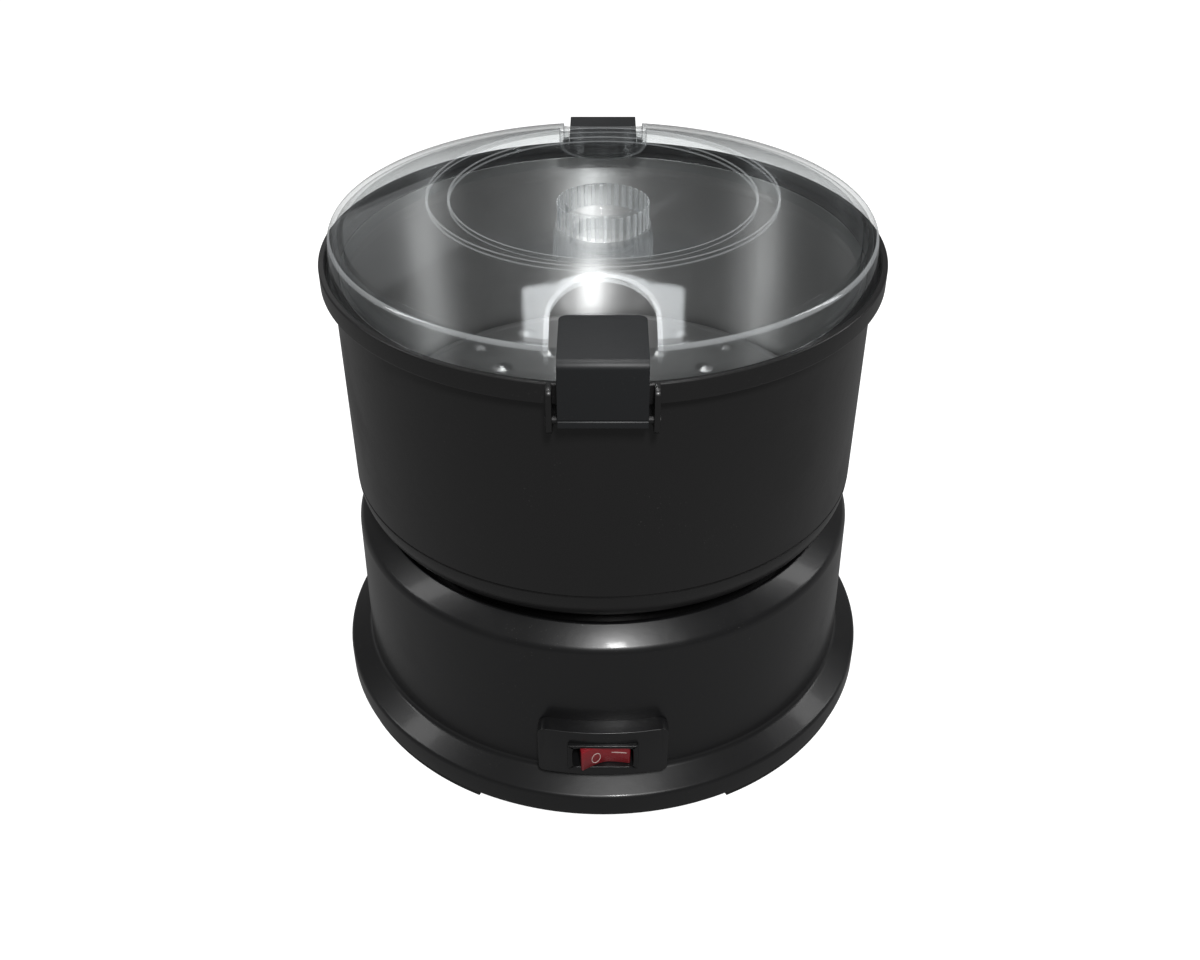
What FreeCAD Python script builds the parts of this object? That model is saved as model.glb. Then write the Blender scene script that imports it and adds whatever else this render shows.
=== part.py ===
import FreeCAD, Part
import math
import os
import re

import Sketcher

# An electric potato peeler: a base with a motor and two stages of gears, a lift-off bowl with a
# turning disc at its foot, and a clear lid held by two over-centre latches.
# The origin is the centre of the underside of the feet. +Z is up and the front faces -Y.

SIZES = [
    # general fits
    ("gap", 0.3, "gap between pieces that only rest near each other"),
    ("running", 0.05, "radial clearance of a turning shaft"),
    ("play", 0.1, "radial clearance of a screw or peg in its hole"),
    ("overcut", 1, "how far a cut runs past what it cuts"),
    # feet
    ("foot_rise", 4, "height of the rubber feet"),
    ("foot_margin", 1, "distance of the feet in from the flange's edge"),
    ("foot_width", 11, "width of a foot's arc"),
    ("foot_start", 26, "angle from the front where a foot starts"),
    ("foot_end", 57, "angle from the front where a foot ends"),
    ("peg_radius", 2.4, "radius of the pegs on a foot"),
    ("peg_rise", 5.5, "height of the pegs on a foot"),
    # base housing
    ("wall_foot_radius", 121.6, "radius of the base wall at its foot"),
    ("wall_draft", 1.4, "how much narrower the base wall is at the shoulder"),
    ("flange_reach", 11.4, "reach of the flange beyond the foot of the wall"),
    ("flange_skirt", 11, "height of the flange's upright side"),
    ("flange_rise", 6.4, "rise of the flange's sloping top up to the wall"),
    ("flange_round", 2.6, "rounding of the flange's outer edge"),
    ("flange_root", 3.4, "rounding where the flange meets the wall"),
    ("mouth_level", 99.9, "height of the edge of the base's mouth"),
    ("mouth_inset", 10.1, "distance of the mouth's edge in from the top of the wall"),
    ("mouth_round", 0.9, "rounding of the edge of the mouth"),
    ("mouth_bevel", 2.1, "bevel inside the mouth"),
    ("shoulder_fall", 8.1, "fall of the shoulder from the mouth to the wall"),
    ("shoulder_round", 12, "rounding of the shoulder"),
    ("shoulder_drop", 3.85, "upright thickness of the sloping shoulder"),
    ("base_wall", 3, "wall of the base housing"),
    ("deck_sink", 8.9, "depth of the deck under the edge of the mouth"),
    ("deck_thick", 3, "thickness of the deck"),
    ("ring_rise", 4, "height of the ring that centres the bowl"),
    ("ring_wall", 3, "wall of that ring"),
    ("boss_radius", 14, "radius of the shaft boss on the deck"),
    ("boss_rise", 3.5, "rise of the shaft boss over the deck"),
    # base plate and its screws
    ("plate_thick", 3, "thickness of the base plate"),
    ("vent_start", 30, "distance of a vent slot's inner end from the axis"),
    ("vent_end", 62, "distance of a vent slot's outer end from the axis"),
    ("vent_width", 4, "width of a vent slot"),
    ("vent_count", 12, "number of vent slots"),
    ("post_sink", 2.2, "how far a screw post is merged into the wall"),
    ("post_radius", 5, "radius of a screw post"),
    ("post_top", 60, "height where the screw posts end"),
    ("screw_radius", 1.8, "radius of the plate screws"),
    ("screw_length", 14, "length of a plate screw's shank"),
    ("screw_head_radius", 3.6, "radius of a screw head"),
    ("screw_head_rise", 2.2, "height of a screw head"),
    # switch on the front of the base
    ("panel_half", 29, "half width of the raised switch panel"),
    ("panel_proud", 8.3, "how far the panel's curved face stands out from the top of the wall"),
    ("panel_bottom", 25.5, "underside of the switch panel"),
    ("panel_top", 52, "top of the switch panel"),
    ("panel_round", 4.2, "rounding of the panel's upper corners"),
    ("panel_edge", 1.1, "rounding of the panel's front edge"),
    ("switch_level", 38.1, "height of the switch's centre"),
    ("bezel_long", 31, "width of the switch bezel"),
    ("bezel_high", 14.8, "height of the switch bezel"),
    ("bezel_sink", 1.2, "depth of the bezel's seat in the panel"),
    ("bezel_thick", 2.5, "thickness of the bezel"),
    ("bezel_lip", 1, "reach of the bezel past the switch body at its ends"),
    ("bezel_brow", 0.9, "reach of the bezel past the switch body above and below"),
    ("body_deep", 19, "depth of the switch body behind the bezel"),
    ("body_wall", 1.1, "wall of the switch body at its ends"),
    ("body_shelf", 1, "wall of the switch body above and below the rocker"),
    ("rocker_swing", 1.1, "room beside the rocker for its swing"),
    ("rocker_deep", 6.4, "depth of the rocker behind its pivot"),
    ("rocker_end", 6.3, "reach of the rocker's ends ahead of its pivot"),
    ("rocker_middle", 3.7, "reach of the rocker's middle ahead of its pivot"),
    ("rocker_rake", 0.4, "inset of the rocker's ends"),
    ("rocker_round", 0.8, "rounding of the rocker's ends"),
    ("rocker_root", 8, "width of the rocker's root"),
    ("rocker_tilt", 12, "tilt of the rocker at rest, in degrees"),
    ("pivot_sink", 3.7, "depth of the rocker's pivot behind the bezel's seat"),
    ("pivot_radius", 1.4, "radius of the rocker's pivot stubs"),
    ("pivot_stub", 0.7, "length of a pivot stub"),
    ("blade_long", 6.3, "width of a switch terminal"),
    ("blade_thick", 0.8, "thickness of a switch terminal"),
    ("blade_reach", 8, "length of a switch terminal"),
    ("blade_pitch", 9, "distance between the switch terminals"),
    # gears
    ("motor_module", 1, "module of the first gear stage"),
    ("output_module", 1.25, "module of the second gear stage"),
    ("pinion_teeth", 14, "teeth of both pinions"),
    ("wheel_teeth", 46, "teeth of the wheel that the motor drives"),
    ("output_teeth", 70, "teeth of the gear on the output shaft"),
    ("backlash", 0.14, "backlash of a gear at its pitch circle"),
    ("tooth_overlap", 1, "how far a pinion's teeth run past the wheel that they drive"),
    ("wheel_clear", 3, "height of the wheel over the gearbox plate"),
    ("wheel_thick", 6, "thickness of the wheel"),
    ("wheel_hub_wall", 3, "wall of the wheel's hub"),
    ("output_clear", 2, "height of the output gear over the wheel"),
    ("output_thick", 7, "thickness of the output gear"),
    ("output_web", 3, "thickness of the output gear's web"),
    ("output_rim", 7, "depth of the output gear's rim inside its pitch circle"),
    ("hub_radius", 10.5, "radius of the output gear's hub"),
    ("axle_radius", 3, "radius of the wheel's axle"),
    # gearbox plate
    ("gearbox_rise", 21, "height between the gearbox plate and the deck"),
    ("gearplate_thick", 3, "thickness of the gearbox plate"),
    ("gearpost_ring", 77, "radius of the ring of posts under the deck"),
    ("gearpost_radius", 5, "radius of a post under the deck"),
    ("gearplate_margin", 4, "reach of the gearbox plate past its posts"),
    # motor
    ("motor_radius", 27, "radius of the motor's can"),
    ("can_rise", 37, "height of the motor's can"),
    ("can_wall", 1.6, "wall of the motor's can"),
    ("cap_rise", 9, "height of the motor's end cap"),
    ("cap_taper", 1, "how much narrower the end cap is at its foot"),
    ("cap_floor", 2, "floor and rounding of the end cap"),
    ("nose_radius", 9, "radius of the motor's nose"),
    ("nose_rise", 2.5, "height of the motor's nose"),
    ("motor_shaft_radius", 2.5, "radius of the motor's shaft"),
    ("shaft_room", 1, "room round the motor's shaft where it leaves the motor"),
    ("bearing_thick", 4, "thickness of a motor bearing"),
    ("magnet_thick", 4, "thickness of the motor's magnets"),
    ("magnet_sweep", 130, "angle of a magnet's arc, in degrees"),
    ("armature_radius", 19.5, "radius of the armature"),
    ("armature_rise", 22, "height of the armature"),
    ("armature_round", 2, "rounding of the armature's ends"),
    ("commutator_radius", 6, "radius of the commutator"),
    ("commutator_rise", 6, "height of the commutator's top over the can's foot"),
    ("motor_screw_pitch", 12.5, "distance of a motor screw from the motor's axis"),
    # output shaft and drive dog
    ("shaft_radius", 5, "radius of the output shaft"),
    ("shaft_drop", 2, "how far the output shaft runs under the gearbox plate"),
    ("bush_radius", 8.6, "outer radius of the shaft bushes"),
    ("bush_flange", 11.4, "radius of the flange on a shaft bush"),
    ("flange_thick", 1.5, "thickness of the flange on a bush"),
    ("dog_flats", 15.4, "width across the flats of the drive dog"),
    ("dog_clear", 2.1, "height of the drive dog over the shaft boss"),
    ("dog_rise", 11, "height of the drive dog"),
    ("dog_cap", 2, "thickness of the drive dog's closed top"),
    # bowl
    ("bowl_inset", 1.8, "distance of the bowl's wall in from the top of the base wall"),
    ("bowl_rise", 123, "height of the bowl's rim over the underside of its floor"),
    ("bowl_wall", 3, "wall of the bowl"),
    ("bowl_round", 17.5, "outer rounding at the foot of the bowl"),
    ("groove_rise", 0.6, "height of the fine groove over the rounded foot"),
    ("groove_deep", 0.5, "depth of the fine groove"),
    ("lip_reach", 5.1, "reach of the bowl's lip beyond its wall"),
    ("lip_rise", 9, "height of the bowl's lip"),
    ("lip_round", 0.9, "rounding of the lip"),
    ("seat_wall", 2.8, "wall of the lip beside the seat for the lid's foot"),
    ("seat_drop", 5, "depth of that seat under the rim"),
    ("neck_gap", 8, "distance of the bowl's neck from the well of the base"),
    ("neck_rise", 11.5, "height of the bowl's floor over the deck"),
    ("bowl_hub_radius", 18, "radius of the hub in the bowl's floor"),
    ("bowl_hub_rise", 15.5, "height of that hub over the underside of the floor"),
    ("hub_drop", 2, "how far the hub runs under the bowl's floor"),
    ("liner_thick", 0.6, "thickness of the steel liner"),
    ("liner_drop", 0.4, "distance of the liner's top edge under the lid's seat"),
    # disc and spindle
    ("spindle_radius", 11, "radius of the disc's spindle"),
    ("spindle_clear", 2.7, "height of the spindle over the shaft boss"),
    ("socket_play", 0.3, "clearance between the drive dog and its socket"),
    ("bowl_bush_wall", 3, "wall of the bush in the bowl's hub"),
    ("seal_width", 5, "width of the seal on the bowl's hub"),
    ("seal_lip", 2, "width of the seal's lip"),
    ("seal_rise", 3, "height of the seal on the bowl's hub"),
    ("seal_clear", 1, "gap between the seal and the disc's hub"),
    ("disc_margin", 3.8, "gap between the peeling disc and the bowl's wall"),
    ("disc_rise", 9.6, "height of the disc's underside over the bowl's hub"),
    ("disc_thick", 3.4, "thickness of the peeling disc"),
    ("disc_round", 1.2, "rounding of the disc's edge"),
    ("disc_hub_radius", 19, "radius of the disc's hub"),
    ("disc_hub_flare", 2, "flare of the disc's hub"),
    ("nut_spigot", 6, "radius of the spindle's threaded end"),
    ("nut_flats", 19, "width across the flats of the disc's nut"),
    ("nut_rise", 9.5, "height of the disc's nut"),
    ("nut_cap", 2, "thickness of the nut's closed top"),
    ("bump_radius", 4, "radius of a bump on the disc"),
    ("bump_rise", 1.4, "height of a bump on the disc"),
    ("bumps_inner", 10, "number of bumps in the disc's inner ring"),
    ("bumps_middle", 16, "number of bumps in the disc's middle ring"),
    ("bumps_outer", 22, "number of bumps in the disc's outer ring"),
    # lid
    ("lid_play", 0.5, "gap between the lid's foot and the side of its seat"),
    ("lid_draft", 2, "how much narrower the lid is at its upper edge"),
    ("lid_edge_rise", 11.8, "height of the lid's upper edge over the rim"),
    ("lid_wall", 2, "wall of the lid"),
    ("lid_round", 2.8, "rounding of the lid's edge"),
    ("lid_slope", 42.4, "distance from the lid's edge in to its crest"),
    ("crest_band", 9.8, "width of the lid's crest"),
    ("crest_rise", 23.9, "height of the crest's outer edge over the rim"),
    ("crest_dip", 1.1, "fall of the crest towards its inner edge"),
    ("crest_round", 3, "rounding of the crest"),
    ("dish_rise", 8, "height of the dished middle of the lid over the rim"),
    ("collar_gap", 0.4, "gap between the lid's collar and the liner"),
    ("collar_drop", 9.5, "depth of the collar's lower edge under the rim"),
    ("knob_radius", 19.2, "radius of the knob between its ribs"),
    ("knob_wall", 2.7, "wall of the knob"),
    ("knob_rise", 11.2, "height of the knob over the dished middle"),
    ("knob_round", 0.6, "rounding of the knob's edge"),
    ("knob_ribs", 36, "number of ribs round the knob"),
    ("rib_radius", 0.8, "radius of a rib on the knob"),
    ("rib_drop", 0.4, "distance of a rib's top under the knob's edge"),
    ("boss_inset", 1.8, "distance of the lower boss in from the knob's bore"),
    ("pocket_gap", 3.15, "gap between a latch and the side of its pocket"),
    ("pocket_inset", 17.2, "distance of a pocket's round end centre in from the lid's edge"),
    ("pocket_rise", 8.4, "height of a pocket's floor over the rim"),
    ("notch_inset", 3.1, "distance of the pocket floor's outer edge in from the collar"),
    # latches
    ("latch_half", 16.65, "half width of a latch"),
    ("latch_thick", 2.8, "thickness of a latch"),
    ("latch_clear", 0.8, "gap between a latch and its pocket's floor"),
    ("latch_proud", 4.3, "distance of a latch's outer face out from the lip's edge"),
    ("latch_reach", 36, "length of a latch's upper plate"),
    ("latch_drop", 16.1, "depth of a latch's lower edge under the rim"),
    ("latch_bend", 3.2, "outer rounding of a latch's bend"),
    ("latch_hem", 1.2, "rounding of a latch's lower edge"),
    ("latch_corner", 3.4, "rounding of the corners at a latch's tip"),
    ("hinge_sink", 3.6, "depth of a latch's hinge behind its outer face"),
    ("hinge_drop", 13.9, "depth of a latch's hinge under the rim"),
    ("barrel_radius", 3.2, "radius of the barrel round a latch's hinge"),
    ("pin_radius", 1.5, "radius of a latch's hinge pin"),
    ("ear_gap", 2, "gap between a latch and the ear beside it"),
    ("ear_thick", 2.2, "thickness of an ear"),
    ("ear_drop", 21.5, "depth of an ear's lower end under the rim"),
    ("ear_rim", 3.2, "distance of an ear's outer face out from the hinge"),
    ("ear_slope", 3, "slope and rounding of an ear's lower end"),
    # rear of the base
    ("gland_level", 36, "height of the cord gland"),
    ("gland_radius", 6.5, "radius of the gland's body"),
    ("gland_head", 9.5, "radius of the gland's head"),
    ("gland_bore", 3.6, "radius of the gland's bore"),
    ("gland_stand", 3.2, "distance of the gland's seat out from the top of the wall"),
    ("gland_proud", 5, "thickness of the gland's head"),
    ("gland_depth", 10, "length of the gland's body behind its seat"),
    ("gland_margin", 1, "reach of the gland's seat past its head"),
    # electrical pieces on the base plate
    ("terminal_across", -40, "place of the terminal block from left to right"),
    ("terminal_back", 88, "place of the terminal block from front to back"),
    ("terminal_long", 24, "length of the terminal block"),
    ("terminal_deep", 12, "depth of the terminal block"),
    ("terminal_high", 11, "height of the terminal block"),
    ("terminal_pitch", 12, "distance between the terminal block's entries"),
    ("terminal_bore", 2, "radius of the terminal block's entries"),
    ("capacitor_across", -49, "place of the filter capacitor from left to right"),
    ("capacitor_back", 58, "place of the filter capacitor from front to back"),
    ("capacitor_long", 26, "length of the filter capacitor"),
    ("capacitor_deep", 12, "depth of the filter capacitor"),
    ("capacitor_high", 17, "height of the filter capacitor"),
]

# Sizes that follow from the ones above, each written once
FOLLOWING = {
    "flange_radius": "wall_foot_radius + flange_reach",
    "foot_outer": "flange_radius - foot_margin",
    "foot_inner": "foot_outer - foot_width",
    "wall_top_radius": "wall_foot_radius - wall_draft",
    "mouth_radius": "wall_top_radius - mouth_inset",
    "well_radius": "mouth_radius - mouth_bevel",
    "shoulder_level": "mouth_level - shoulder_fall",
    "deck_level": "mouth_level - deck_sink",
    "deck_under": "deck_level - deck_thick",
    "plate_top": "foot_rise + plate_thick",
    "post_ring": "wall_top_radius - base_wall - post_radius + post_sink",
    "panel_face": "wall_top_radius + panel_proud",
    "bezel_seat": "panel_face - bezel_sink",
    "bezel_front": "bezel_seat + bezel_thick",
    "body_long": "bezel_long - 2 * bezel_lip",
    "body_high": "bezel_high - 2 * bezel_brow",
    "rocker_long": "body_long - 2 * body_wall - 2 * rocker_swing",
    "rocker_high": "body_high - 2 * body_shelf",
    "pivot_back": "bezel_seat - pivot_sink",
    "gearplate_top": "deck_under - gearbox_rise",
    "gearplate_level": "gearplate_top - gearplate_thick",
    "gearplate_radius": "gearpost_ring + gearpost_radius + gearplate_margin",
    "gear_level": "gearplate_top + wheel_clear",
    "wheel_top": "gear_level + wheel_thick",
    "output_level": "wheel_top + output_clear",
    "output_top": "output_level + output_thick",
    "wheel_y": "output_module * (pinion_teeth + output_teeth) / 2",
    "motor_x": "motor_module * (pinion_teeth + wheel_teeth) / 2",
    "can_foot": "gearplate_level - can_rise",
    "cap_foot": "can_foot - cap_rise",
    "armature_foot": "can_foot + commutator_rise",
    "bearing_outer": "nose_radius - can_wall",
    "nose_top": "gearplate_level + nose_rise",
    "shaft_foot": "gearplate_level - shaft_drop",
    "boss_top": "deck_level + boss_rise",
    "dog_level": "boss_top + dog_clear",
    "dog_top": "dog_level + dog_rise",
    "bowl_radius": "wall_top_radius - bowl_inset",
    "bowl_inner": "bowl_radius - bowl_wall",
    "bowl_floor_level": "deck_level + neck_rise",
    "floor_top": "bowl_floor_level + bowl_wall",
    "hub_foot": "bowl_floor_level - hub_drop",
    "rim_level": "bowl_floor_level + bowl_rise",
    "groove_level": "bowl_floor_level + bowl_round + groove_rise",
    "lip_radius": "bowl_radius + lip_reach",
    "neck_radius": "well_radius - neck_gap",
    "ring_radius": "neck_radius - bowl_wall - gap",
    "bowl_hub_top": "bowl_floor_level + bowl_hub_rise",
    "bowl_bush_top": "bowl_hub_top + flange_thick",
    "seal_top": "bowl_bush_top + seal_rise",
    "hub_bore": "spindle_radius + bowl_bush_wall",
    "spindle_foot": "boss_top + spindle_clear",
    "liner_outer": "bowl_inner - gap",
    "liner_inner": "liner_outer - liner_thick",
    "disc_radius": "bowl_inner - disc_margin",
    "disc_level": "bowl_hub_top + disc_rise",
    "disc_top": "disc_level + disc_thick",
    "seat_radius": "lip_radius - seat_wall",
    "seat_level": "rim_level - seat_drop",
    "lid_foot_radius": "seat_radius - lid_play",
    "lid_edge_radius": "lid_foot_radius - lid_draft",
    "lid_edge_level": "rim_level + lid_edge_rise",
    "crest_outer": "lid_edge_radius - lid_slope",
    "crest_inner": "crest_outer - crest_band",
    "crest_level": "rim_level + crest_rise",
    "dish_level": "rim_level + dish_rise",
    "dish_under": "dish_level - lid_wall",
    "collar_radius": "liner_inner - collar_gap",
    "collar_inner": "collar_radius - lid_wall",
    "collar_foot": "rim_level - collar_drop",
    "knob_bore": "knob_radius - knob_wall",
    "knob_top": "dish_level + knob_rise",
    "boss_outer": "knob_bore - boss_inset",
    "pocket_half": "latch_half + pocket_gap",
    "pocket_centre": "lid_edge_radius - pocket_inset",
    "pocket_floor": "rim_level + pocket_rise",
    "notch_edge": "collar_radius - notch_inset",
    "latch_top": "pocket_floor + latch_clear + latch_thick",
    "latch_face": "lip_radius + latch_proud",
    "latch_tip": "latch_face - latch_reach",
    "latch_foot": "rim_level - latch_drop",
    "hinge_back": "latch_face - hinge_sink",
    "hinge_level": "rim_level - hinge_drop",
    "ear_inner": "latch_half + ear_gap",
    "ear_outer": "ear_inner + ear_thick",
    "ear_foot": "rim_level - ear_drop",
    "ear_reach": "hinge_back + ear_rim",
    "gland_seat": "wall_top_radius + gland_stand",
}

doc = FreeCAD.newDocument("potato_peeler")
sheet = doc.addObject("Spreadsheet::Sheet", "Sizes")
for row, (alias, size, meaning) in enumerate(SIZES, start=1):
    sheet.set(f"A{row}", meaning)
    sheet.set(f"B{row}", str(size))
    sheet.setAlias(f"B{row}", alias)
doc.recompute()

ALIASES = {alias for alias, size, meaning in SIZES}
NODES = []


# Expressions and placing

def sized(text):
    """An expression in which each name points at its cell in the sheet."""
    def cell(match):
        word = match[0]
        if word in FOLLOWING:
            return f"({sized(FOLLOWING[word])})"
        return f"Sizes.{word}" if word in ALIASES else word
    return re.sub(r"[a-z]\w*", cell, text)


def number(text):
    """The present value of such an expression."""
    return float(sheet.evalExpression(sized(text)))


def bind(thing, **properties):
    """Bind properties to expressions; a double underscore stands for a dot."""
    for name, text in properties.items():
        thing.setExpression(name.replace("__", "."), sized(text))


def place(thing, x="0", y="0", z="0"):
    bind(thing, Placement__Base__x=x, Placement__Base__y=y, Placement__Base__z=z)


def node(thing, name):
    """Mark a document object as a finished sub-part under the name of its file."""
    thing.Label = name
    NODES.append(thing)
    return thing


def new_body(name):
    return doc.addObject("PartDesign::Body", name)


# Sketches

def new_sketch(body, name, role="XY_Plane", level="0"):
    sketch = body.newObject("Sketcher::SketchObject", name)
    plane = next(part for part in body.Origin.OriginFeatures if part.Role == role)
    sketch.AttachmentSupport = [(plane, "")]
    sketch.MapMode = "FlatFace"
    if level != "0":
        bind(sketch, AttachmentOffset__Base__z=level)
    return sketch


def pin_point(sketch, geometry, position, across, up):
    """Hold a point of a sketch at the distances that two expressions give."""
    for kind, axis, text in (("DistanceX", -2, across), ("DistanceY", -1, up)):
        if text == "0":
            sketch.addConstraint(Sketcher.Constraint("PointOnObject", geometry, position, axis))
            continue
        held = Sketcher.Constraint(kind, -1, 1, geometry, position, number(text))
        index = sketch.addConstraint(held)
        sketch.setExpression(f"Constraints[{index}]", sized(text))


def rounded_corner(before, corner, after, radius):
    """The arc that rounds a corner, with its ends in the order of travel."""
    to_before = (before - corner).normalize()
    to_after = (after - corner).normalize()
    half = to_before.getAngle(to_after) / 2
    start = corner + to_before * (radius / math.tan(half))
    end = corner + to_after * (radius / math.tan(half))
    centre = corner + (to_before + to_after).normalize() * (radius / math.sin(half))
    left_turn = (corner - before).cross(after - corner).z > 0
    first, last = (start, end) if left_turn else (end, start)
    angles = [math.atan2(point.y - centre.y, point.x - centre.x) for point in (first, last)]
    if angles[1] < angles[0]:
        angles[1] += 2 * math.pi
    circle = Part.Circle(centre, FreeCAD.Vector(0, 0, 1), radius)
    return start, end, Part.ArcOfCircle(circle, *angles), left_turn


def outline(sketch, corners):
    """A closed outline through corners given as (across, up) or (across, up, rounding)."""
    points = [FreeCAD.Vector(number(corner[0]), number(corner[1]), 0) for corner in corners]
    count = len(points)
    arcs = {}
    for index, corner in enumerate(corners):
        if len(corner) > 2:
            arcs[index] = rounded_corner(points[index - 1], points[index],
                                         points[(index + 1) % count], number(corner[2]))
    lines = []
    for index in range(count):
        following = (index + 1) % count
        start = arcs[index][1] if index in arcs else points[index]
        end = arcs[following][0] if following in arcs else points[following]
        lines.append(sketch.addGeometry(Part.LineSegment(start, end)))
    for index, corner in enumerate(corners):
        before = lines[index - 1]
        after = lines[index]
        if index not in arcs:
            sketch.addConstraint(Sketcher.Constraint("Coincident", before, 2, after, 1))
            pin_point(sketch, after, 1, corner[0], corner[1])
            continue
        arc = sketch.addGeometry(arcs[index][2])
        entry, leave = (1, 2) if arcs[index][3] else (2, 1)
        apex = sketch.addGeometry(Part.Point(points[index]), True)
        pin_point(sketch, apex, 1, corner[0], corner[1])
        sketch.addConstraint([
            Sketcher.Constraint("PointOnObject", apex, 1, before),
            Sketcher.Constraint("PointOnObject", apex, 1, after),
            Sketcher.Constraint("Tangent", before, 2, arc, entry),
            Sketcher.Constraint("Tangent", arc, leave, after, 1),
        ])
        held = sketch.addConstraint(Sketcher.Constraint("Radius", arc, number(corner[2])))
        sketch.setExpression(f"Constraints[{held}]", sized(corner[2]))
    return sketch


def circles(sketch, places, radius):
    """Circles of one radius at places given as (across, up)."""
    for across, up in places:
        centre = FreeCAD.Vector(number(across), number(up), 0)
        circle = Part.Circle(centre, FreeCAD.Vector(0, 0, 1), number(radius))
        index = sketch.addGeometry(circle)
        pin_point(sketch, index, 3, across, up)
        held = sketch.addConstraint(Sketcher.Constraint("Radius", index, number(radius)))
        sketch.setExpression(f"Constraints[{held}]", sized(radius))
    return sketch


# Features

def revolve(body, name, corners, angle="360", cut=False):
    """A turned solid, or a turned groove where it cuts."""
    sketch = outline(new_sketch(body, f"{name}_profile", "XZ_Plane"), corners)
    feature = body.newObject("PartDesign::Groove" if cut else "PartDesign::Revolution", name)
    feature.Profile = sketch
    feature.ReferenceAxis = (sketch, ["V_Axis"])
    bind(feature, Angle=angle)
    return feature


def pad(body, name, sketch, length):
    feature = body.newObject("PartDesign::Pad", name)
    feature.Profile = sketch
    bind(feature, Length=length)
    return feature


def pocket(body, name, sketch, length):
    """A pocket upwards from its sketch."""
    feature = body.newObject("PartDesign::Pocket", name)
    feature.Profile = sketch
    feature.Reversed = True
    bind(feature, Length=length)
    return feature


def copies(body, name, features, count):
    """Repeat features evenly round the Z axis."""
    pattern = body.newObject("PartDesign::PolarPattern", name)
    pattern.Originals = features
    axis = next(part for part in body.Origin.OriginFeatures if part.Role == "Z_Axis")
    pattern.Axis = (axis, [""])
    pattern.Angle = 360
    bind(pattern, Occurrences=count)
    body.Tip = pattern
    return pattern


def box(body, name, low, high, cut=False):
    kind = "PartDesign::SubtractiveBox" if cut else "PartDesign::AdditiveBox"
    feature = body.newObject(kind, name)
    spans = [f"({upper}) - ({lower})" for lower, upper in zip(low, high)]
    bind(feature, Length=spans[0], Width=spans[1], Height=spans[2])
    place(feature, *low)
    return feature


TURNS = {
    "x": FreeCAD.Rotation(FreeCAD.Vector(0, 1, 0), 90),
    "y": FreeCAD.Rotation(FreeCAD.Vector(1, 0, 0), -90),
    "z": FreeCAD.Rotation(),
}


def rod(body, name, start, radius, length, along="z", cut=False):
    """A cylinder from its start along an axis."""
    kind = "PartDesign::SubtractiveCylinder" if cut else "PartDesign::AdditiveCylinder"
    feature = body.newObject(kind, name)
    feature.Placement = FreeCAD.Placement(FreeCAD.Vector(), TURNS[along])
    bind(feature, Radius=radius, Height=length)
    place(feature, *start)
    return feature


def round_edges(body, name, base, radius, wanted):
    """Round the edges of a feature whose middle passes a test."""
    doc.recompute()
    edges = base.Shape.Edges
    chosen = [f"Edge{index}" for index, edge in enumerate(edges, start=1) if wanted(edge.BoundBox)]
    if not chosen:
        raise ValueError(f"{name} found no edge to round")
    feature = body.newObject("PartDesign::Fillet", name)
    feature.Base = (base, chosen)
    bind(feature, Radius=radius)
    return feature


def turned(name, corners, x="0", y="0"):
    """A turned piece on an upright axis at x, y."""
    body = new_body(name)
    revolve(body, f"{name}_turned", corners)
    place(body, x, y)
    return node(body, name)


def tube_corners(inner, outer, bottom, top):
    return [(inner, bottom), (outer, bottom), (outer, top), (inner, top)]


def flanged_bush(name, bore, flange_bottom, flange_top, body_bottom, body_top):
    """A bush whose flange lies at one end of its body."""
    if number(flange_bottom) < number(body_bottom):
        corners = [(bore, flange_bottom), ("bush_flange", flange_bottom), ("bush_flange", flange_top),
                   ("bush_radius", flange_top), ("bush_radius", body_top), (bore, body_top)]
    else:
        corners = [(bore, body_bottom), ("bush_radius", body_bottom), ("bush_radius", flange_bottom),
                   ("bush_flange", flange_bottom), ("bush_flange", flange_top), (bore, flange_top)]
    return turned(name, corners)


# Places that several pieces share

GEARPOST_ANGLES = (20, 160, 225, 315)
POST_ANGLES = (45, 135, 225, 315)


def at_angle(ring, degrees):
    """The place of a point on a ring, at an angle from +X."""
    return f"({ring}) * cos({degrees})", f"({ring}) * sin({degrees})"


GEARPOSTS = [at_angle("gearpost_ring", angle) for angle in GEARPOST_ANGLES]
POSTS = [at_angle("post_ring", angle) for angle in POST_ANGLES]
MOTOR_SCREWS = [("motor_x", f"wheel_y {sign} motor_screw_pitch") for sign in ("+", "-")]


# Base

def shoulder_under(radius):
    """The height of the shoulder's inner face at a radius."""
    slope = "(mouth_level - shoulder_level) / (wall_top_radius - mouth_radius)"
    return f"mouth_level - shoulder_drop - (({radius}) - mouth_radius) * {slope}"


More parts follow.
